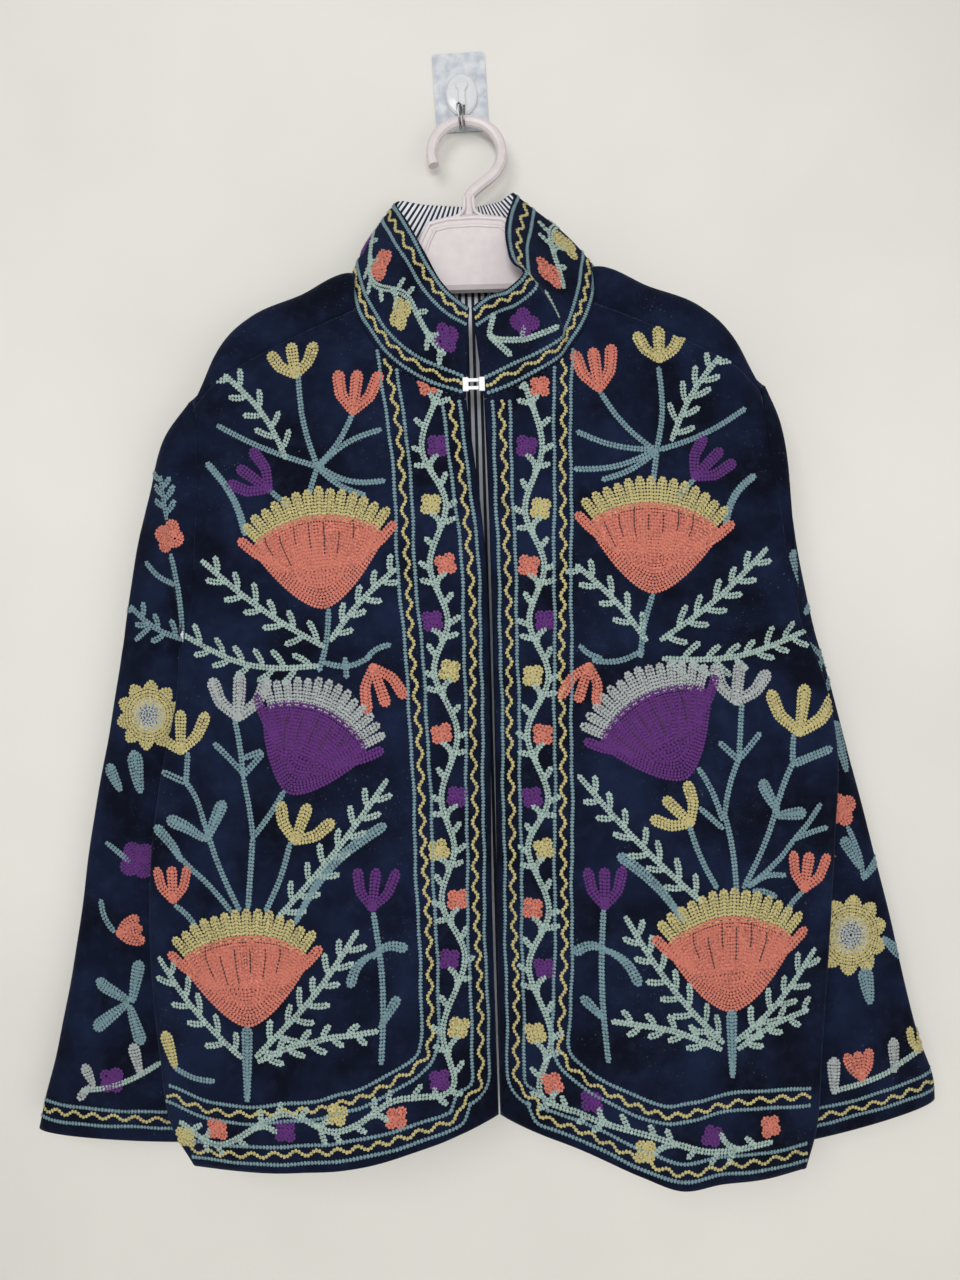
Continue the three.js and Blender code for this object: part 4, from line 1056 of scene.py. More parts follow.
def daisy(work, colours, base, tip, bend, size):
    """Large round flower: a ring of blunt petals round a plain centre."""
    petal, middle = colours.split("/")
    base = np.array(base, dtype=float)
    for k in range(10):
        angle = k * math.pi / 5 + 0.2
        way = np.array([math.cos(angle), math.sin(angle)])
        capsule(work, [base + way * size * 0.5, base + way * size * 0.86], size * 0.24, petal)
    radius = size * 0.46
    while radius > 0.8:
        a = np.linspace(0, 2 * math.pi, 40)
        work.row(base + np.stack([np.cos(a), np.sin(a)], -1) * radius, middle)
        radius -= ROW


FAN_SHOULDER, FAN_FLARE, FAN_SCALLOPS = 0.6, 0.62, 14


def fan(work, colours, base, tip, bend, spread):
    """Fan-shaped flower: an opening body with two side points under a scalloped rim."""
    body, rim = colours.split("/")
    along, across, length = unit(base, tip)
    base = np.array(base, dtype=float)

    def reach(h):
        return min(1.0, (max(h, 0) / FAN_SHOULDER) ** FAN_FLARE)

    def top(q):
        return 0.8 - 0.2 * q * q

    def at(q, h):
        return base + along * h * length + across * q * reach(h) * spread

    def outline(h):
        return FAN_SHOULDER * h ** (1 / FAN_FLARE)

    for inset in np.arange(0, 0.62 * length, ROW):
        path = []
        for q in np.linspace(-1, 1, 70):
            h = outline(abs(q)) + inset / length * (1.12 - 0.4 * abs(q))
            if h < top(q * 0.9) - 0.02:
                path.append(base + along * h * length + across * q * (spread - inset * 0.75))
        if len(path) > 3:
            work.row(path, body)
    count = int(1.72 * spread / ROW)
    for k in range(count + 1):
        q = (-1 + 2 * k / count) * 0.86
        level = 0.17 if k % 8 == 0 else 0.26 if k % 4 == 0 else 0.42 if k % 2 == 0 else 0.7
        low = max(outline(level), 0.16 + 0.25 * abs(q) ** 2)
        path = [at(q, h) for h in np.linspace(low, top(q) - 0.01, 10)]
        work.row(path, body, 1.0, 0.75)
        if k % 5 == 2 and abs(q) < 0.75:
            # a dark row of painted shadow in a slit between the rays
            high = top(q) - work.random.uniform(0.02, 0.16)
            low = high - work.random.uniform(0.14, 0.3)
            slit = [at(q + 0.6 / count, h) for h in np.linspace(low, high, 6)]
            work.row(slit, "shadow", 0.42, 1.25)
    for sign in (-1, 1):
        out = across * sign
        point = [at(sign * 0.74, 0.4), at(sign * 0.95, 0.52) + out * 2, at(sign, 0.64) + out * 6]
        capsule(work, point, 4.2, body, 0.1, 0.5)
    for k in range(FAN_SCALLOPS):
        q = -0.88 + 1.76 * k / (FAN_SCALLOPS - 1)
        way = along * math.cos(q * 0.8) + across * math.sin(q * 0.8)
        foot = at(q * 0.95, top(q * 0.95) - 0.03)
        far = length * lerp(0.23, 0.17, abs(q)) * work.random.uniform(0.94, 1.06)
        capsule(work, [foot, foot + way * far], spread * 0.074, rim, 0, 0.3)


MAKERS = {maker.__name__: maker for maker in (stem, leaf, tulip, sprig, rosette, daisy, fan)}


def braid(work, path, gap=6.7, wave=2.3, length=17.0):
    """Wavy mustard row between two blue-grey rows."""
    pitch = 1.2
    path = resampled(path, pitch)
    at = np.arange(len(path)) * pitch
    unsteady = 0.45 * np.sin(at / 19 + 1) + 0.3 * np.sin(at / 7)
    work.row(beside(path, gap + unsteady), "teal", 1.15)
    work.row(beside(path, -gap - unsteady[::-1]), "teal", 1.15)
    drift = 0.7 * np.sin(at / 61) + 0.5 * np.sin(at / 23)
    phase = 2 * math.pi * at / length + 1.1 * np.sin(at / 34)
    work.row(beside(path, wave * np.sin(phase) + drift), "mustard", 1.1)


def through(points, count):
    """Smooth curve through points, read at count places."""
    points = np.asarray(points, dtype=float)
    out = []
    for spot in np.linspace(0, len(points) - 1, count):
        k = min(len(points) - 2, int(spot))
        s = spot - k
        p1, p2 = points[k], points[k + 1]
        p0 = points[k - 1] if k else 2 * p1 - p2
        p3 = points[k + 2] if k + 2 < len(points) else 2 * p2 - p1
        slope, square, cube = p2 - p0, 2 * p0 - 5 * p1 + 4 * p2 - p3, 3 * p1 - p0 - 3 * p2 + p3
        out.append(0.5 * (2 * p1 + slope * s + square * s * s + cube * s**3))
    return np.array(out)


def smoothed(points):
    return through(points, len(points) * 12)


VINE_PLACES = 16  # places on the stem from one flower to the next
VINE_STALK = 7  # the flower's stalk leaves at this place
VINE_LEAFLETS = rows("place turn length", (1, 1, 9), (5, 1, 10), (11, -1, 10))


def vine(work, table, reach=9.0, size=1.0, outward=1):
    """Winding sage stem that passes each flower on its other side, with a stalk to it and leaflets. table has
    each flower's colour, x and z, and may say on which side the stem passes it."""
    flowers = np.array([[x, z] for _, x, z, *_ in table], dtype=float)
    for (colour, *_), flower in zip(table, flowers):
        rosette(work, colour, flower, None, 0, size)
    way = np.gradient(flowers, axis=0)
    way /= np.linalg.norm(way, axis=1, keepdims=True)
    side = np.stack([-way[:, 1], way[:, 0]], -1)
    middle = flowers.copy()
    middle[1:-1] = (flowers[:-2] + 2 * flowers[1:-1] + flowers[2:]) / 4
    lean = np.sign(((middle - flowers) * side).sum(1))
    lean[0], lean[-1] = -lean[1], -lean[-2]
    for k, (_, _, _, *passing) in enumerate(table):
        if passing:
            lean[k] = outward if passing == ["outside"] else -outward
    knots = flowers + side * (lean * reach * 1.4)[:, None]
    path = through(knots, (len(knots) - 1) * VINE_PLACES + 1)
    capsule(work, path, VINE_HALF, "sage")
    for k, flower in enumerate(flowers):
        first = k * VINE_PLACES
        if first + VINE_STALK < len(path):
            stalk = arc(path[first + VINE_STALK], flower + way[k] * 7, -3 * lean[k], 8)
            capsule(work, stalk, STEM_HALF, "sage", 0, 0.1)
        for leaflet in VINE_LEAFLETS:
            i = first + leaflet["place"]
            if 1 <= i < len(path) - 1:
                along = path[i + 1] - path[i - 1]
                along = along / max(1e-6, np.hypot(*along))
                out = np.array([-along[1], along[0]]) * leaflet["turn"] * lean[k]
                far = leaflet["length"] * work.random.uniform(0.85, 1.15)
                end = path[i] + out * 0.85 * far - along * work.random.uniform(0.3, 0.65) * far
                capsule(work, [path[i] + out * 1.6, end], VINE_HALF, "sage", 0, 0.1)


# one link of length, width and height 1: along it, across it, above the cloth
LINK_POINTS = np.array([
    (0.0, 0.0, 0.15), (0.3, 0.42, 0.1), (0.75, 0.5, 0.1), (1.06, 0.0, 0.15), (0.75, -0.5, 0.1),
    (0.3, -0.42, 0.1), (0.58, 0.28, 1.0), (0.5, 0.0, 0.45), (0.58, -0.28, 1.0),
])
LINK_FACES = np.array([
    (0, 6, 1), (1, 6, 2), (2, 6, 3), (3, 8, 4), (4, 8, 5),
    (5, 8, 0), (0, 7, 6), (7, 3, 6), (0, 8, 7), (7, 8, 3),
])


def links(name, points, ways, normals, colours, shapes):
    """One mesh of chain-stitch links: points and ways are each link's start and run, in millimetres."""
    lengths = np.linalg.norm(ways, axis=1, keepdims=True)
    good = (lengths[:, 0] > SHORTEST_LINK) & (lengths[:, 0] < LONGEST_LINK)
    points, ways, normals, colours, shapes, lengths = (
        a[good] for a in (points, ways, normals, colours, shapes, lengths)
    )
    sides = np.cross(normals, ways / lengths)
    rng = np.random.default_rng(len(points))
    points = points + normals * shapes[:, 1:2]
    wide = LINK_WIDTH * rng.uniform(0.9, 1.12, (len(points), 1)) * shapes[:, 0:1]
    high = LINK_HEIGHT * rng.uniform(0.8, 1.2, (len(points), 1))
    corners = (
        points[:, None, :]
        + ways[:, None, :] * LINK_POINTS[None, :, 0:1]
        + (sides * wide)[:, None, :] * LINK_POINTS[None, :, 1:2]
        + (normals * high)[:, None, :] * LINK_POINTS[None, :, 2:3]
    )
    faces = LINK_FACES[None] + (np.arange(len(points)) * len(LINK_POINTS))[:, None, None]
    made = mesh_object(name, to_metres(corners.reshape(-1, 3)), faces.reshape(-1, 3), list(threads.values()))
    slots = np.repeat(colours, len(LINK_FACES)).astype(np.int32)
    made.data.polygons.foreach_set("material_index", slots)
    made.data.update()
    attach(made, "root")
    return made


CLEAR_OF_CLOTH = 400  # the stitches are cast from this far in front of or behind the middle plane
EDGE_ON = 0.12  # and are left out where less of the cloth than this faces them


def stitch_flat(name, work, panel, ahead):
    """Stitches drawn in the x-z plane, laid on a panel from the front (ahead = 1) or from behind (-1)."""
    starts, ends, colours, shapes = work.gathered()
    tree = panel.tree()
    middle = (starts + ends) / 2
    spots = np.zeros((len(middle), 3))
    normals = np.zeros((len(middle), 3))
    hit = np.zeros(len(middle), dtype=bool)
    way = Vector((0, ahead, 0))
    for k, (x, z) in enumerate(middle):
        spot, normal, _, _ = tree.ray_cast(Vector((x, -CLEAR_OF_CLOTH * ahead, z)), way)
        if spot is not None and normal.y * ahead < -EDGE_ON:
            spots[k], normals[k], hit[k] = spot, normal, True
    d = ends - starts
    rise = -(normals[:, 0] * d[:, 0] + normals[:, 2] * d[:, 1]) / np.where(hit, normals[:, 1], 1)
    ways = np.stack([d[:, 0], rise, d[:, 1]], -1)
    begin = spots - ways / 2
    return links(name, begin[hit], ways[hit], normals[hit], colours[hit], shapes[hit])


def stitch_round(name, work, panel, along, height):
    """Stitches drawn as (distance round, distance up), laid on a panel by its own grid."""
    starts, ends, colours, shapes = work.gathered()

    def lay(p, grid):
        row_count, column_count = grid.shape[:2]
        a = np.interp(p[:, 0], along, np.arange(column_count))
        b = np.clip(p[:, 1] / height, 0, 1) * (row_count - 1)
        i, j = np.minimum(a.astype(int), column_count - 2), np.minimum(b.astype(int), row_count - 2)
        s, t = (a - i)[:, None], (b - j)[:, None]
        low = grid[j, i] * (1 - s) + grid[j, i + 1] * s
        high = grid[j + 1, i] * (1 - s) + grid[j + 1, i + 1] * s
        return low * (1 - t) + high * t

    begin, finish = lay(starts, panel.grid), lay(ends, panel.grid)
    normals = lay((starts + ends) / 2, panel.normals)
    normals /= np.linalg.norm(normals, axis=1, keepdims=True)
    return links(name, begin, finish - begin, normals, colours, shapes)


# ---------------------------------------------------------------- what is embroidered where

# Places are pixels x,y of the camera's own view, bends are millimetres, and a size is a factor or, for a fan
# or a daisy, its half width in millimetres.
FIELDS = {
    "right": """
        kind colour foot tip bend size
        tulip mustard 295,374 290,342 0 1.1
        tulip coral 354,412 360,372 0 1.15
        sprig sage 285,458 222,372 -6 1
        stem teal 318,466 297,370 4 1
        stem teal 318,466 353,416 -3 1
        stem teal 320,466 381,431 5 1
        stem teal 320,468 385,482 -6 1
        stem teal 320,470 366,496 -3 1
        stem teal 316,466 213,422 3 1
        stem teal 318,468 309,494 0 1
        tulip purple 268,489 238,462 0 1.05
        stem teal 270,490 288,506 0 1
        stem teal 244,533 203,461 -5 1.3
        fan coral/mustard 325,608 313,491 0 56
        stem teal 330,610 320,670 2 1
        sprig sage 324,646 200,560 4 1
        sprig sage 318,666 180,634 12 1
        sprig sage 332,640 396,570 3 0.9
        stem teal 326,663 371,657 -5 1
        stem teal 368,657 390,645 2 1
        stem teal 345,659 347,677 0 1
        tulip coral 373,667 385,706 0 1
        fan purple/silver 290,792 335,685 0 48
        tulip silver 237,718 234,674 0 1.2
        tulip mustard 177,752 174,712 0 1.1
        stem teal 233,721 243,778 1 1
        stem teal 243,778 252,838 1 1
        stem teal 252,838 247,908 0 1
        stem teal 242,774 212,745 0 1.1
        stem teal 243,758 261,752 0 1.1
        stem teal 243,776 262,754 0 1.1
        stem teal 284,791 253,838 1 1
        stem teal 184,755 182,784 0 1
        stem teal 182,784 203,828 2 1
        stem teal 203,828 238,911 -2 1
        stem teal 182,784 158,775 0 1.2
        leaf teal 203,841 167,822 0 0.95
        leaf teal 205,840 220,806 0 0.95
        stem teal 230,913 176,862 -2 1
        leaf teal 176,863 152,832 -2 0.8
        tulip mustard 295,840 308,804 0 1.1
        stem teal 290,843 265,912 2 1
        sprig sage 278,917 387,780 -3 1
        leaf teal 296,922 384,825 9 0.75
        tulip purple 373,907 376,868 0 0.95
        stem teal 374,912 381,1062 4 1
        leaf teal 374,956 404,948 5 0.75
        leaf teal 373,954 352,982 -4 0.75
        leaf teal 380,1026 396,1000 0 0.75
        fan coral/mustard 248,1028 240,912 0 55
        leaf teal 246,1102 246,1032 0 0.8
        sprig sage 255,1058 358,930 -5 1
        sprig sage 240,1060 152,965 5 1
        sprig sage 258,1064 378,1030 6 0.8
        tulip coral 168,905 164,871 0 0.95
        stem teal 170,910 192,930 2 1
        leaf mustard 168,1076 158,1046 0 1
        stem teal 210,1086 168,1078 3 1
    """,
    "left": """
        kind colour foot tip bend size
        tulip mustard 660,358 660,326 0 1.15
        tulip coral 598,390 589,350 0 1.15
        sprig sage 672,440 730,346 5 1
        stem teal 656,450 660,366 -4 1
        stem teal 654,450 600,393 4 1
        stem teal 652,450 577,434 4 1
        stem teal 652,452 574,470 5 1
        stem teal 654,454 602,481 3 1
        stem teal 660,450 750,404 -4 1
        stem teal 656,452 653,482 0 1
        tulip purple 695,477 724,448 0 1.05
        stem teal 693,479 678,496 0 1
        stem teal 726,522 757,474 5 1.3
        fan coral/mustard 651,592 656,480 0 56
        stem teal 651,595 640,656 -2 1
        sprig sage 660,640 768,548 -4 1
        sprig sage 662,658 815,628 -10 1
        sprig sage 646,640 576,566 -3 0.9
        stem teal 640,652 592,660 4 1
        stem teal 600,658 580,646 2 1
        tulip coral 589,666 579,702 0 0.95
        fan purple/silver 685,778 632,672 0 51
        tulip silver 737,702 741,662 0 1.2
        tulip mustard 803,734 808,686 0 1.25
        stem teal 742,703 739,758 0 1
        stem teal 739,758 725,814 -2 1
        stem teal 725,814 738,892 2 1
        stem teal 738,760 719,743 0 1.1
        stem teal 740,758 761,734 0 1.1
        stem teal 723,828 699,807 0 1
        stem teal 698,768 723,820 2 1
        stem teal 797,736 796,764 0 1
        stem teal 796,764 778,810 -1 1
        stem teal 778,810 745,889 2 1
        stem teal 798,764 836,750 0 1.5
        leaf teal 779,812 764,784 0 0.95
        leaf teal 779,817 805,815 0 0.95
        stem teal 750,888 798,842 -2 1
        stem teal 798,842 825,807 -1 1
        stem teal 798,842 832,831 1 1
        stem teal 752,887 788,878 4 1
        stem teal 755,893 779,900 2 1
        tulip mustard 690,823 664,797 0 1.05
        stem teal 689,826 717,889 -2 1
        sprig sage 700,900 579,776 3 1
        leaf teal 682,919 620,856 -4 0.8
        tulip purple 604,906 602,868 0 1
        stem teal 603,910 608,1060 -3 1
        leaf teal 607,951 576,953 -5 0.75
        leaf teal 607,949 637,980 4 0.75
        leaf teal 603,1018 585,1000 0 0.75
        fan coral/mustard 734,1014 730,892 0 55
        leaf teal 734,1080 734,1016 0 0.8
        sprig sage 725,1045 625,915 5 1
        sprig sage 738,1045 822,955 -5 1
        sprig sage 722,1052 612,1020 -6 0.8
        sprig sage 742,1052 815,1018 4 0.8
        tulip coral 810,893 817,856 0 1
        stem teal 808,896 790,915 -2 1
    """,
}
SLEEVE_FIELDS = {
    "right": """
        kind colour foot tip bend size
        sprig teal 172,520 163,478 0 0.8
        rosette coral 173,537 173,537 0 1.45
        stem teal 176,556 187,640 3 1
        stem teal 180,585 146,562 3 1
        sprig teal 186,640 128,606 4 0.8
        stem teal 150,628 134,640 0 1
        daisy mustard/silver 148,715 148,715 0 28
        leaf teal 140,790 133,757 0 1.2
        leaf teal 118,790 106,770 0 1
        rosette purple 137,860 137,860 0 1.7
        stem teal 128,862 104,845 0 1
        tulip coral 118,935 140,930 0 1.1
        stem teal 112,932 98,902 3 1.1
        leaf teal 128,1000 98,985 0 1
        leaf teal 126,1004 96,1028 0 1
        leaf teal 130,1008 140,1040 0 1
        leaf teal 132,1000 138,965 0 1
        leaf silver 88,1088 78,1100 0 0.7
        stem sage 80,1092 160,1062 -5 1
        rosette purple 112,1080 112,1080 0 1.2
        leaf silver 140,1072 134,1048 0 0.9
        leaf silver 92,1086 84,1070 0 0.9
    """,
    "left": """
        kind colour foot tip bend size
        leaf teal 795,585 788,556 0 1
        leaf teal 806,612 826,590 0 0.9
        sprig teal 806,640 842,690 4 0.8
        leaf teal 850,770 838,726 0 1
        rosette coral 843,810 843,810 0 1.5
        stem teal 850,828 866,880 3 1
        leaf teal 862,868 846,842 0 0.9
        leaf teal 866,880 884,862 0 0.8
        daisy mustard/silver 852,936 852,936 0 32
        leaf teal 870,1002 866,974 0 1.2
        leaf teal 888,942 908,960 0 0.9
        stem sage 836,1090 930,1050 -4 1
        tulip coral 862,1078 860,1052 0 1
        leaf silver 834,1092 834,1062 0 1
        leaf silver 896,1072 896,1045 0 1
        tulip mustard 922,1056 930,1034 0 0.8
    """,
}
# flowers between the braids of a front, from the neck down and along the hem, and where the stem passes
VINES = {
    "right": """
        colour at passing
        coral 428,385
        purple 437,447
        mustard 430,505
        coral 446,564
        purple 432,621
        mustard 450,671
        coral 442,733
        purple 457,797
        mustard 438,849
        coral 457,900
        purple 449,959
        mustard 459,1028
        purple 440,1077 outside
        coral 398,1108 inside
        mustard 341,1104 outside
        purple 288,1122 inside
        coral 218,1127 outside
        mustard 184,1140 inside
    """,
    "left": """
        colour at passing
        coral 540,388
        purple 526,447
        mustard 541,509
        coral 529,566
        purple 545,621
        mustard 533,676
        coral 543,735
        purple 533,797
        mustard 544,849
        coral 533,909
        purple 545,968
        mustard 535,1033
        coral 551,1080 outside
        purple 590,1094 outside
        mustard 641,1138 inside
        purple 708,1127 outside
        coral 770,1124 outside
    """,
}
# middle line of the inner braid of each front
BRAIDS = {
    "right": """
        384,345 389,380 400,450 407,570 419,720 427,900 431,1000 430,1040 416,1062 360,1087
        296,1103 216,1108 165,1097
    """,
    "left": """
        565,345 563,400 562,570 563,720 563,900 562,1000 561,1046 577,1068 617,1087 665,1102
        705,1099 749,1096 813,1099
    """,
}
# y of the cloth that a place is read on; the fronts come forward from FRONT_TOP_Y by FRONT_LEAN to the hem
SLEEVE_Y, VINE_Y, BRAID_Y = -46, -76, -74
FRONT_TOP_Y, FRONT_LEAN = -66, 22
FRONT_TOP_PIXEL, FRONT_PIXELS = 350, 700


def text_rows(text):
    """Rows of a text table, with its first line as the names of its columns."""
    names, *lines = [line.split() for line in text.strip().splitlines()]
    return [dict(zip(names, line)) for line in lines]


def seen(pixel, y=None):
    """Place x, z of a pixel of the view, to the millimetre, on cloth at depth y or else on a front."""
    px, py = (int(part) for part in pixel.split(","))
    if y is None:
        y = FRONT_TOP_Y - FRONT_LEAN * clamp01((py - FRONT_TOP_PIXEL) / FRONT_PIXELS)
    c, s = math.cos(CAMERA_ROLL), math.sin(CAMERA_ROLL)
    across, down = px - VIEW_WIDTH / 2, py - VIEW_HEIGHT / 2
    scale = (y - CAMERA_Y) / VIEW_FOCAL
    x = CAMERA_X + (across * c - down * s) * scale - GARMENT_X
    z = CAMERA_Z - (across * s + down * c) * scale
    return float(round(x)), float(round(z))


def work_rows(work, table, y=None, flip=1, shift=0.0):
    """Embroiders a table's motifs; flip and shift carry them to the other half of the jacket."""
    for row in text_rows(table):
        base, tip = [(x * flip + shift, z) for x, z in (seen(row["foot"], y), seen(row["tip"], y))]
        make = MAKERS[row["kind"]]
        make(work, row["colour"], base, tip, float(row["bend"]) * flip, float(row["size"]))


# ---------------------------------------------------------------- embroidery of each piece


EDGE_INSET, HEM_INSET = 13.0, 14.0  # from a front's edge and from a hem to the braid beside it
CORNER, CORNER_CLEAR = 14, 16  # radius of a braid's corner, and how far above the hem's braid it starts


def quarter(first=0):
    """Sine and cosine of the places round a braid's corner."""
    return [(math.sin(k * math.pi / 10), math.cos(k * math.pi / 10)) for k in range(first, 6)]


def edge_braid(work, edge, hem, side):
    """Braid down beside an edge, round the corner and along the hem to the side."""
    hem = hem[np.argsort(hem[:, 0] * side)]
    path = [(x + side * EDGE_INSET, z) for x, z in edge if z > edge[:, 1].min() + HEM_INSET + CORNER_CLEAR]
    x, z = path[-1]
    path += [(x + side * CORNER * (1 - c), z - CORNER * s) for s, c in quarter(1)]
    start = path[-1][0] * side + 5
    path += [(x, z + HEM_INSET) for x, z in hem if x * side > start][::3]
    braid(work, path)


def panel_line(panel, row=None, col=None):
    line = panel.grid[row] if row is not None else panel.grid[:, col]
    return line[:, [0, 2]]


stitches = {}

for side_name, side in SIDES.items():
    name, sign = "front_" + side_name, side["sign"]
    panel = panels[name]
    work = Work(11 + sign)
    work_rows(work, FIELDS[side_name])
    flowers = text_rows(VINES[side_name])
    flowers = [(row["colour"], *seen(row["at"], VINE_Y), *row.get("passing", "").split()) for row in flowers]
    vine(work, flowers, outward=-sign)
    braid(work, smoothed([seen(pixel, BRAID_Y) for pixel in BRAIDS[side_name].split()]))
    neck_index = front_vs.index(NECK_ROW)
    edge = panel_line(panel, col=0)[: neck_index + 1][::-1]
    edge_braid(work, edge, panel_line(panel, row=0), sign)
    stitches[name] = [stitch_flat(name + "_embroidery", work, panel, 1)]

back_panel = panels["back"]
BACK_TOP = -200  # where the collar ends behind
BACK_SHIFT = 4  # the back repeats the left front's motifs this much further out
BACK_BRAID_X, BACK_BRAID_RISE, BACK_BRAID_END = 38, 50, 262
BACK_LOW_X, BACK_LOW_RISE = 62, 32
BACK_LOW = ("coral", "purple", "mustard", "coral", "purple")
BACK_MIDDLE = ("coral", "purple", "mustard") * 5
FLOWER_STEP = 44
for side_name, side in SIDES.items():
    sign = side["sign"]
    work = Work(31 + sign)
    work_rows(work, FIELDS["left"], None, sign, BACK_SHIFT * sign)
    hem = panel_line(back_panel, row=0)
    hem = hem[hem[:, 0] * sign > -0.5]
    hem = hem[np.argsort(hem[:, 0] * sign)]
    braid(work, hem[::3] + [0, HEM_INSET])

    def above_hem(x, rise):
        return x * sign, np.interp(x, hem[:, 0] * sign, hem[:, 1]) + rise

    path = [(BACK_BRAID_X * sign, BACK_TOP)]
    for s, c in quarter():
        path.append(above_hem(BACK_BRAID_X + CORNER - CORNER * c, BACK_BRAID_RISE + CORNER - CORNER * s))
    path += [above_hem(x, BACK_BRAID_RISE) for x in range(60, BACK_BRAID_END, 12)]
    braid(work, path)
    flowers = []
    for k, colour in enumerate(BACK_LOW):
        flowers.append((colour, *above_hem(BACK_LOW_X + FLOWER_STEP * k, BACK_LOW_RISE + 3.5 * (-1) ** k)))
    vine(work, flowers)
    if sign > 0:
        drop = BACK_TOP - 12
        vine(work, [(colour, 5 * (-1) ** k, drop - FLOWER_STEP * k) for k, colour in enumerate(BACK_MIDDLE)])
    stitches.setdefault("back", []).append(stitch_flat(f"back_embroidery_{side_name}", work, back_panel, -1))

CUFF_INSET = 18
for side_name, side in SIDES.items():
    name, sign = "sleeve_" + side_name, side["sign"]
    panel = panels[name]
    made = []
    for ahead, face in ((1, "front"), (-1, "rear")):
        work = Work(51 + sign * 2 + ahead)
        work_rows(work, SLEEVE_FIELDS[side_name], SLEEVE_Y)
        cuff = panel_line(panel, row=-1)
        outer, inner = cuff[np.argmax(cuff[:, 0] * sign)], cuff[np.argmin(cuff[:, 0] * sign)]
        braid(work, arc(outer + [0, CUFF_INSET], inner + [0, CUFF_INSET], 0))
        made.append(stitch_flat(f"{name}_embroidery_{face}", work, panel, ahead))
    stitches[name] = made

collar_panel = panels["collar"]
middle = collar_panel.grid[len(collar_vs) // 2]
along = np.concatenate([[0], np.cumsum(np.linalg.norm(np.diff(middle, axis=0), axis=1))])
collar_end = along[-1]
COLLAR_HEIGHT = 74
COLLAR_BRAID = {"gap": 6.2, "wave": 1.9, "length": 18}
COLLAR_FLOWERS = ("purple", "mustard", "coral") * 3
COLLAR_FIRST, COLLAR_STEP = 20, 48.5
work = Work(71)
braid(work, [(2, 10.5), (collar_end - 2, 10)], **COLLAR_BRAID)
braid(work, [(2, COLLAR_HEIGHT - 9), (collar_end - 2, COLLAR_HEIGHT - 9)], **COLLAR_BRAID)
flowers = []
for k, colour in enumerate(COLLAR_FLOWERS):
    flowers.append((colour, COLLAR_FIRST + COLLAR_STEP * k, COLLAR_HEIGHT / 2 + 4 * (-1) ** k))
vine(work, flowers, size=1.25)
# at the wearer's left end one more flower, and sprigs by their distance from that end and their height
rosette(work, "purple", (collar_end - 46, 43), None, 0, 1.35)
for sprig_line in (
    ((22, 58), (13, 44), (32, 33), (68, 26)),
    ((13, 44), (24, 24)),
    ((38, 33), (44, 40)),
    ((76, 30), (90, 44)),
):
    path = smoothed([(collar_end - from_end, height) for from_end, height in sprig_line])
    capsule(work, path, VINE_HALF, "sage", 0, 0.1)
stitches["collar"] = [stitch_round("collar_embroidery", work, collar_panel, along, COLLAR_HEIGHT)]

# ---------------------------------------------------------------- hanger mouldings, other pieces

# the hanger's plate: its lean in degrees about a point, its thickness, and its upper edge as x, z
HANGER = {"lean": 6.5, "y": -18.5, "z": -38.7, "thick": 12}
HANGER_RIM = (
    (-88, -184), (-54, -166), (-45, -141), (-38, -127), (-22, -123), (2, -122),
    (26, -124), (38, -133), (46, -151), (55, -168), (90, -184),
)
RIB_STAND = 0.1  # the ribs' middles stand this much in front of the plate
OUTER_RIB, INNER_RIB = {"inset": 2.6, "radius": 1.9}, {"inset": 9.5, "radius": 1.5}
STEM_X = -2.5
WEB = ((20, -126), (10, -123), (4.5, -117), (3.6, -106))


def hanger_ridge(name, path, radius):
    """Raised rib on the front of the hanger's plate."""
    lean = math.radians(HANGER["lean"])
    curve = bpy.data.curves.new(name, "CURVE")
    curve.dimensions = "3D"
    curve.bevel_depth = radius * MM
    curve.bevel_resolution = 3
    spline = curve.splines.new("POLY")
    spline.points.add(len(path) - 1)
    for item, (x, z) in zip(spline.points, path):
        y = HANGER["y"] - (HANGER["z"] - z) * math.tan(lean) - HANGER["thick"] / 2 - RIB_STAND
        item.co = (*to_metres((x, y, z)), 1)
    curve.materials.append(hanger_plastic)
    made = bpy.data.objects.new(name, curve)
    bpy.context.scene.collection.objects.link(made)
    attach(made, "root")
    return made


rim_path = resampled(np.array(HANGER_RIM, dtype=float), 2.0)
hanger_ridge("hanger_rib_outer", beside(rim_path, -OUTER_RIB["inset"]), OUTER_RIB["radius"])
hanger_ridge("hanger_rib_inner", beside(rim_path, -INNER_RIB["inset"]), INNER_RIB["radius"])
for side_name, side in SIDES.items():
    flare = smoothed([(STEM_X + side["sign"] * x, z) for x, z in WEB])
    hanger_ridge("hanger_web_" + side_name, flare, INNER_RIB["radius"])

SHARP_CORNER = 35
CAD_LOOKS = {
    "hanger": hanger_plastic,
    "clasp_hook": clasp_white,
    "clasp_bar": clasp_white,
    "hook_pad": frosted,
    "hook_base": clear_plastic,
    "hook_wire": steel,
}
for name, look in CAD_LOOKS.items():
    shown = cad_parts[name]
    shown.data.materials.clear()
    shown.data.materials.append(look)
    for polygon in shown.data.polygons:
        polygon.use_smooth = True
    corners = shown.modifiers.new("corners", "EDGE_SPLIT")
    corners.split_angle = math.radians(SHARP_CORNER)

# each piece's flat sheet, its longest row and column of cloth in metres, and what it hangs from
CUTS = {
    "front_right": (0.289, 0.708, ("collar_cloth",)),
    "front_left": (0.287, 0.711, ("collar_cloth",)),
    "back": (0.625, 0.79, ("hanger",)),
    "sleeve_right": (0.452, 0.631, ("front_right_cloth", "back_cloth")),
    "sleeve_left": (0.452, 0.621, ("front_left_cloth", "back_cloth")),
    "collar": (0.567, 0.107, ("back_cloth",)),
}
for name, (width, length, on) in CUTS.items():
    made = cloth[name]
    panels[name].area()

# ---------------------------------------------------------------- wall, floor, light and camera


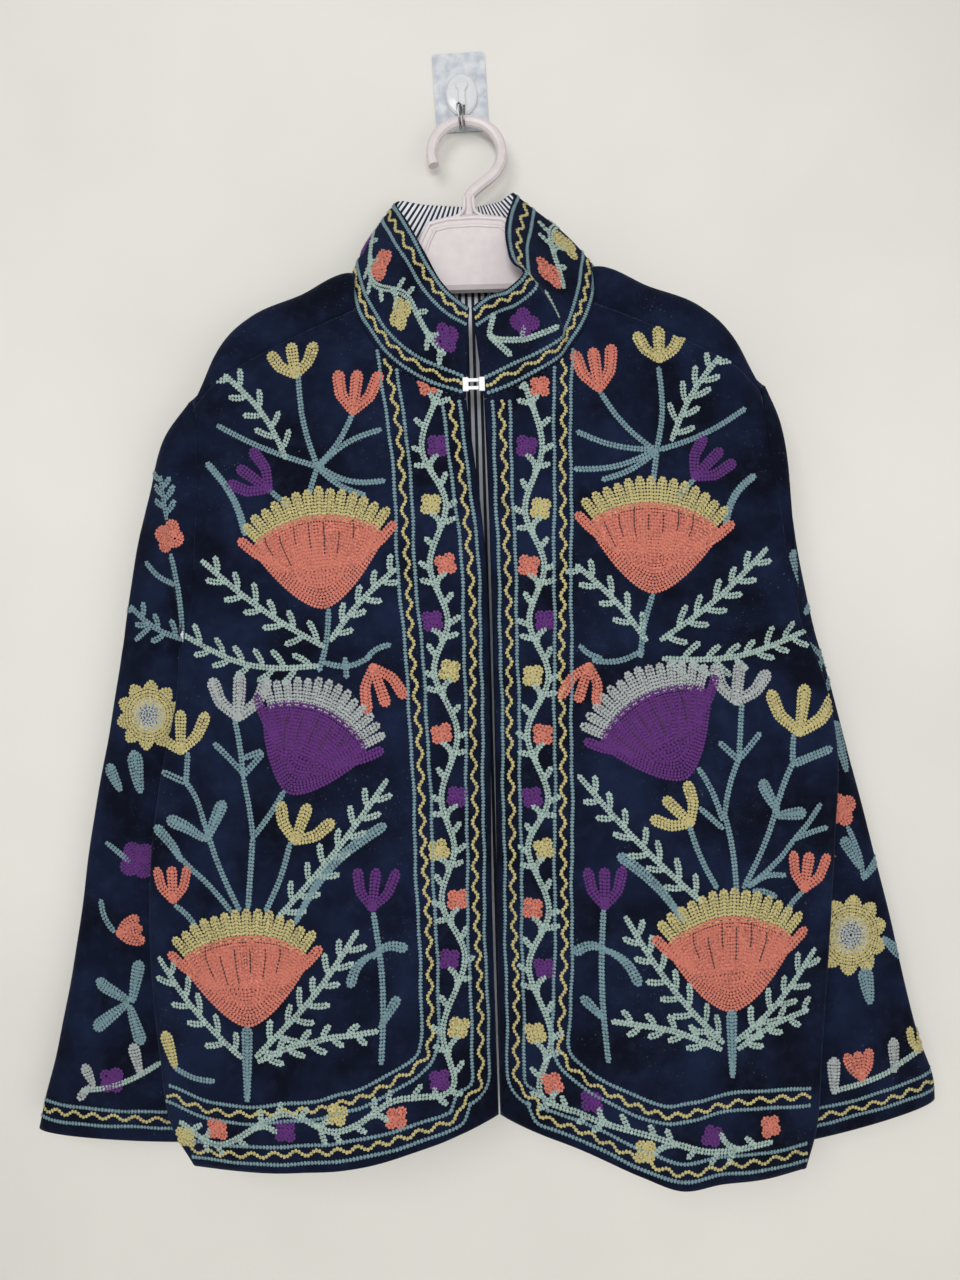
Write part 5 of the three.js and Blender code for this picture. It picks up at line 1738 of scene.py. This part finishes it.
def plane(name, corners, look):
    made = mesh_object(name, corners, [(0, 1, 2, 3)], [look], False)
    return made


# the room in metres: half its width, the wall's face and top, and the floor's height and front edge
ROOM_HALF, WALL_Y, WALL_TOP, FLOOR_Z, FLOOR_FRONT = 3, 0.0006, 1.6, -1.7, -4
wall_paint = material("plain_wall", rolled_paint)
for name, first, last in (
    ("wall", (WALL_Y, FLOOR_Z), (WALL_Y, WALL_TOP)),
    ("floor", (FLOOR_FRONT, FLOOR_Z), (WALL_Y, FLOOR_Z)),
):
    left_to_right = (-ROOM_HALF, ROOM_HALF)
    corners = [(x, *first) for x in left_to_right] + [(x, *last) for x in left_to_right[::-1]]
    plane(name, corners, wall_paint)

LIGHTS = rows(
    "name spot aim size power tint",
    ("key", (-0.8, -2.4, 0.35), (0.0, 0.0, -0.5), 1.2, 23, "#fffaf6"),
    ("fill", (1.2, -2.2, -0.9), (0.0, 0.0, -0.6), 1.6, 13, "#fff7f4"),
    ("frontal", (0.0, -1.5, -0.35), (0.0, 0.0, -0.5), 0.35, 8, "#ffffff"),
)
for light in LIGHTS:
    data = bpy.data.lights.new(light["name"], "AREA")
    data.size = light["size"]
    data.energy = light["power"]
    data.color = rgb(light["tint"])[:3]
    made = bpy.data.objects.new(light["name"], data)
    made.location = light["spot"]
    made.rotation_euler = (Vector(light["aim"]) - Vector(light["spot"])).to_track_quat("-Z", "Y").to_euler()
    bpy.context.scene.collection.objects.link(made)

world = bpy.data.worlds.new("room")
world.use_nodes = True
world.node_tree.nodes.clear()
sky = node(world.node_tree, "ShaderNodeBackground", {"Color": rgb("#f4f3f0"), "Strength": 0.4})
node(world.node_tree, "ShaderNodeOutputWorld", {"Surface": sky})
bpy.context.scene.world = world

camera_data = bpy.data.cameras.new("camera")
camera_data.sensor_fit = "VERTICAL"
camera_data.sensor_height = 36
camera_data.lens = round(camera_data.sensor_height * VIEW_FOCAL / VIEW_HEIGHT, 3)
camera = bpy.data.objects.new("camera", camera_data)
right = Vector((math.cos(CAMERA_ROLL), 0, -math.sin(CAMERA_ROLL)))
up = Vector((math.sin(CAMERA_ROLL), 0, math.cos(CAMERA_ROLL)))
backwards = Vector((0, -1, 0))
turned_view = Matrix((right, up, backwards)).transposed().to_4x4()
camera_place = [value * MM for value in (CAMERA_X, CAMERA_Y, CAMERA_Z)]
camera.matrix_world = Matrix.Translation(camera_place) @ turned_view
bpy.context.scene.collection.objects.link(camera)
bpy.context.scene.camera = camera
bpy.context.scene.view_settings.view_transform = "Standard"
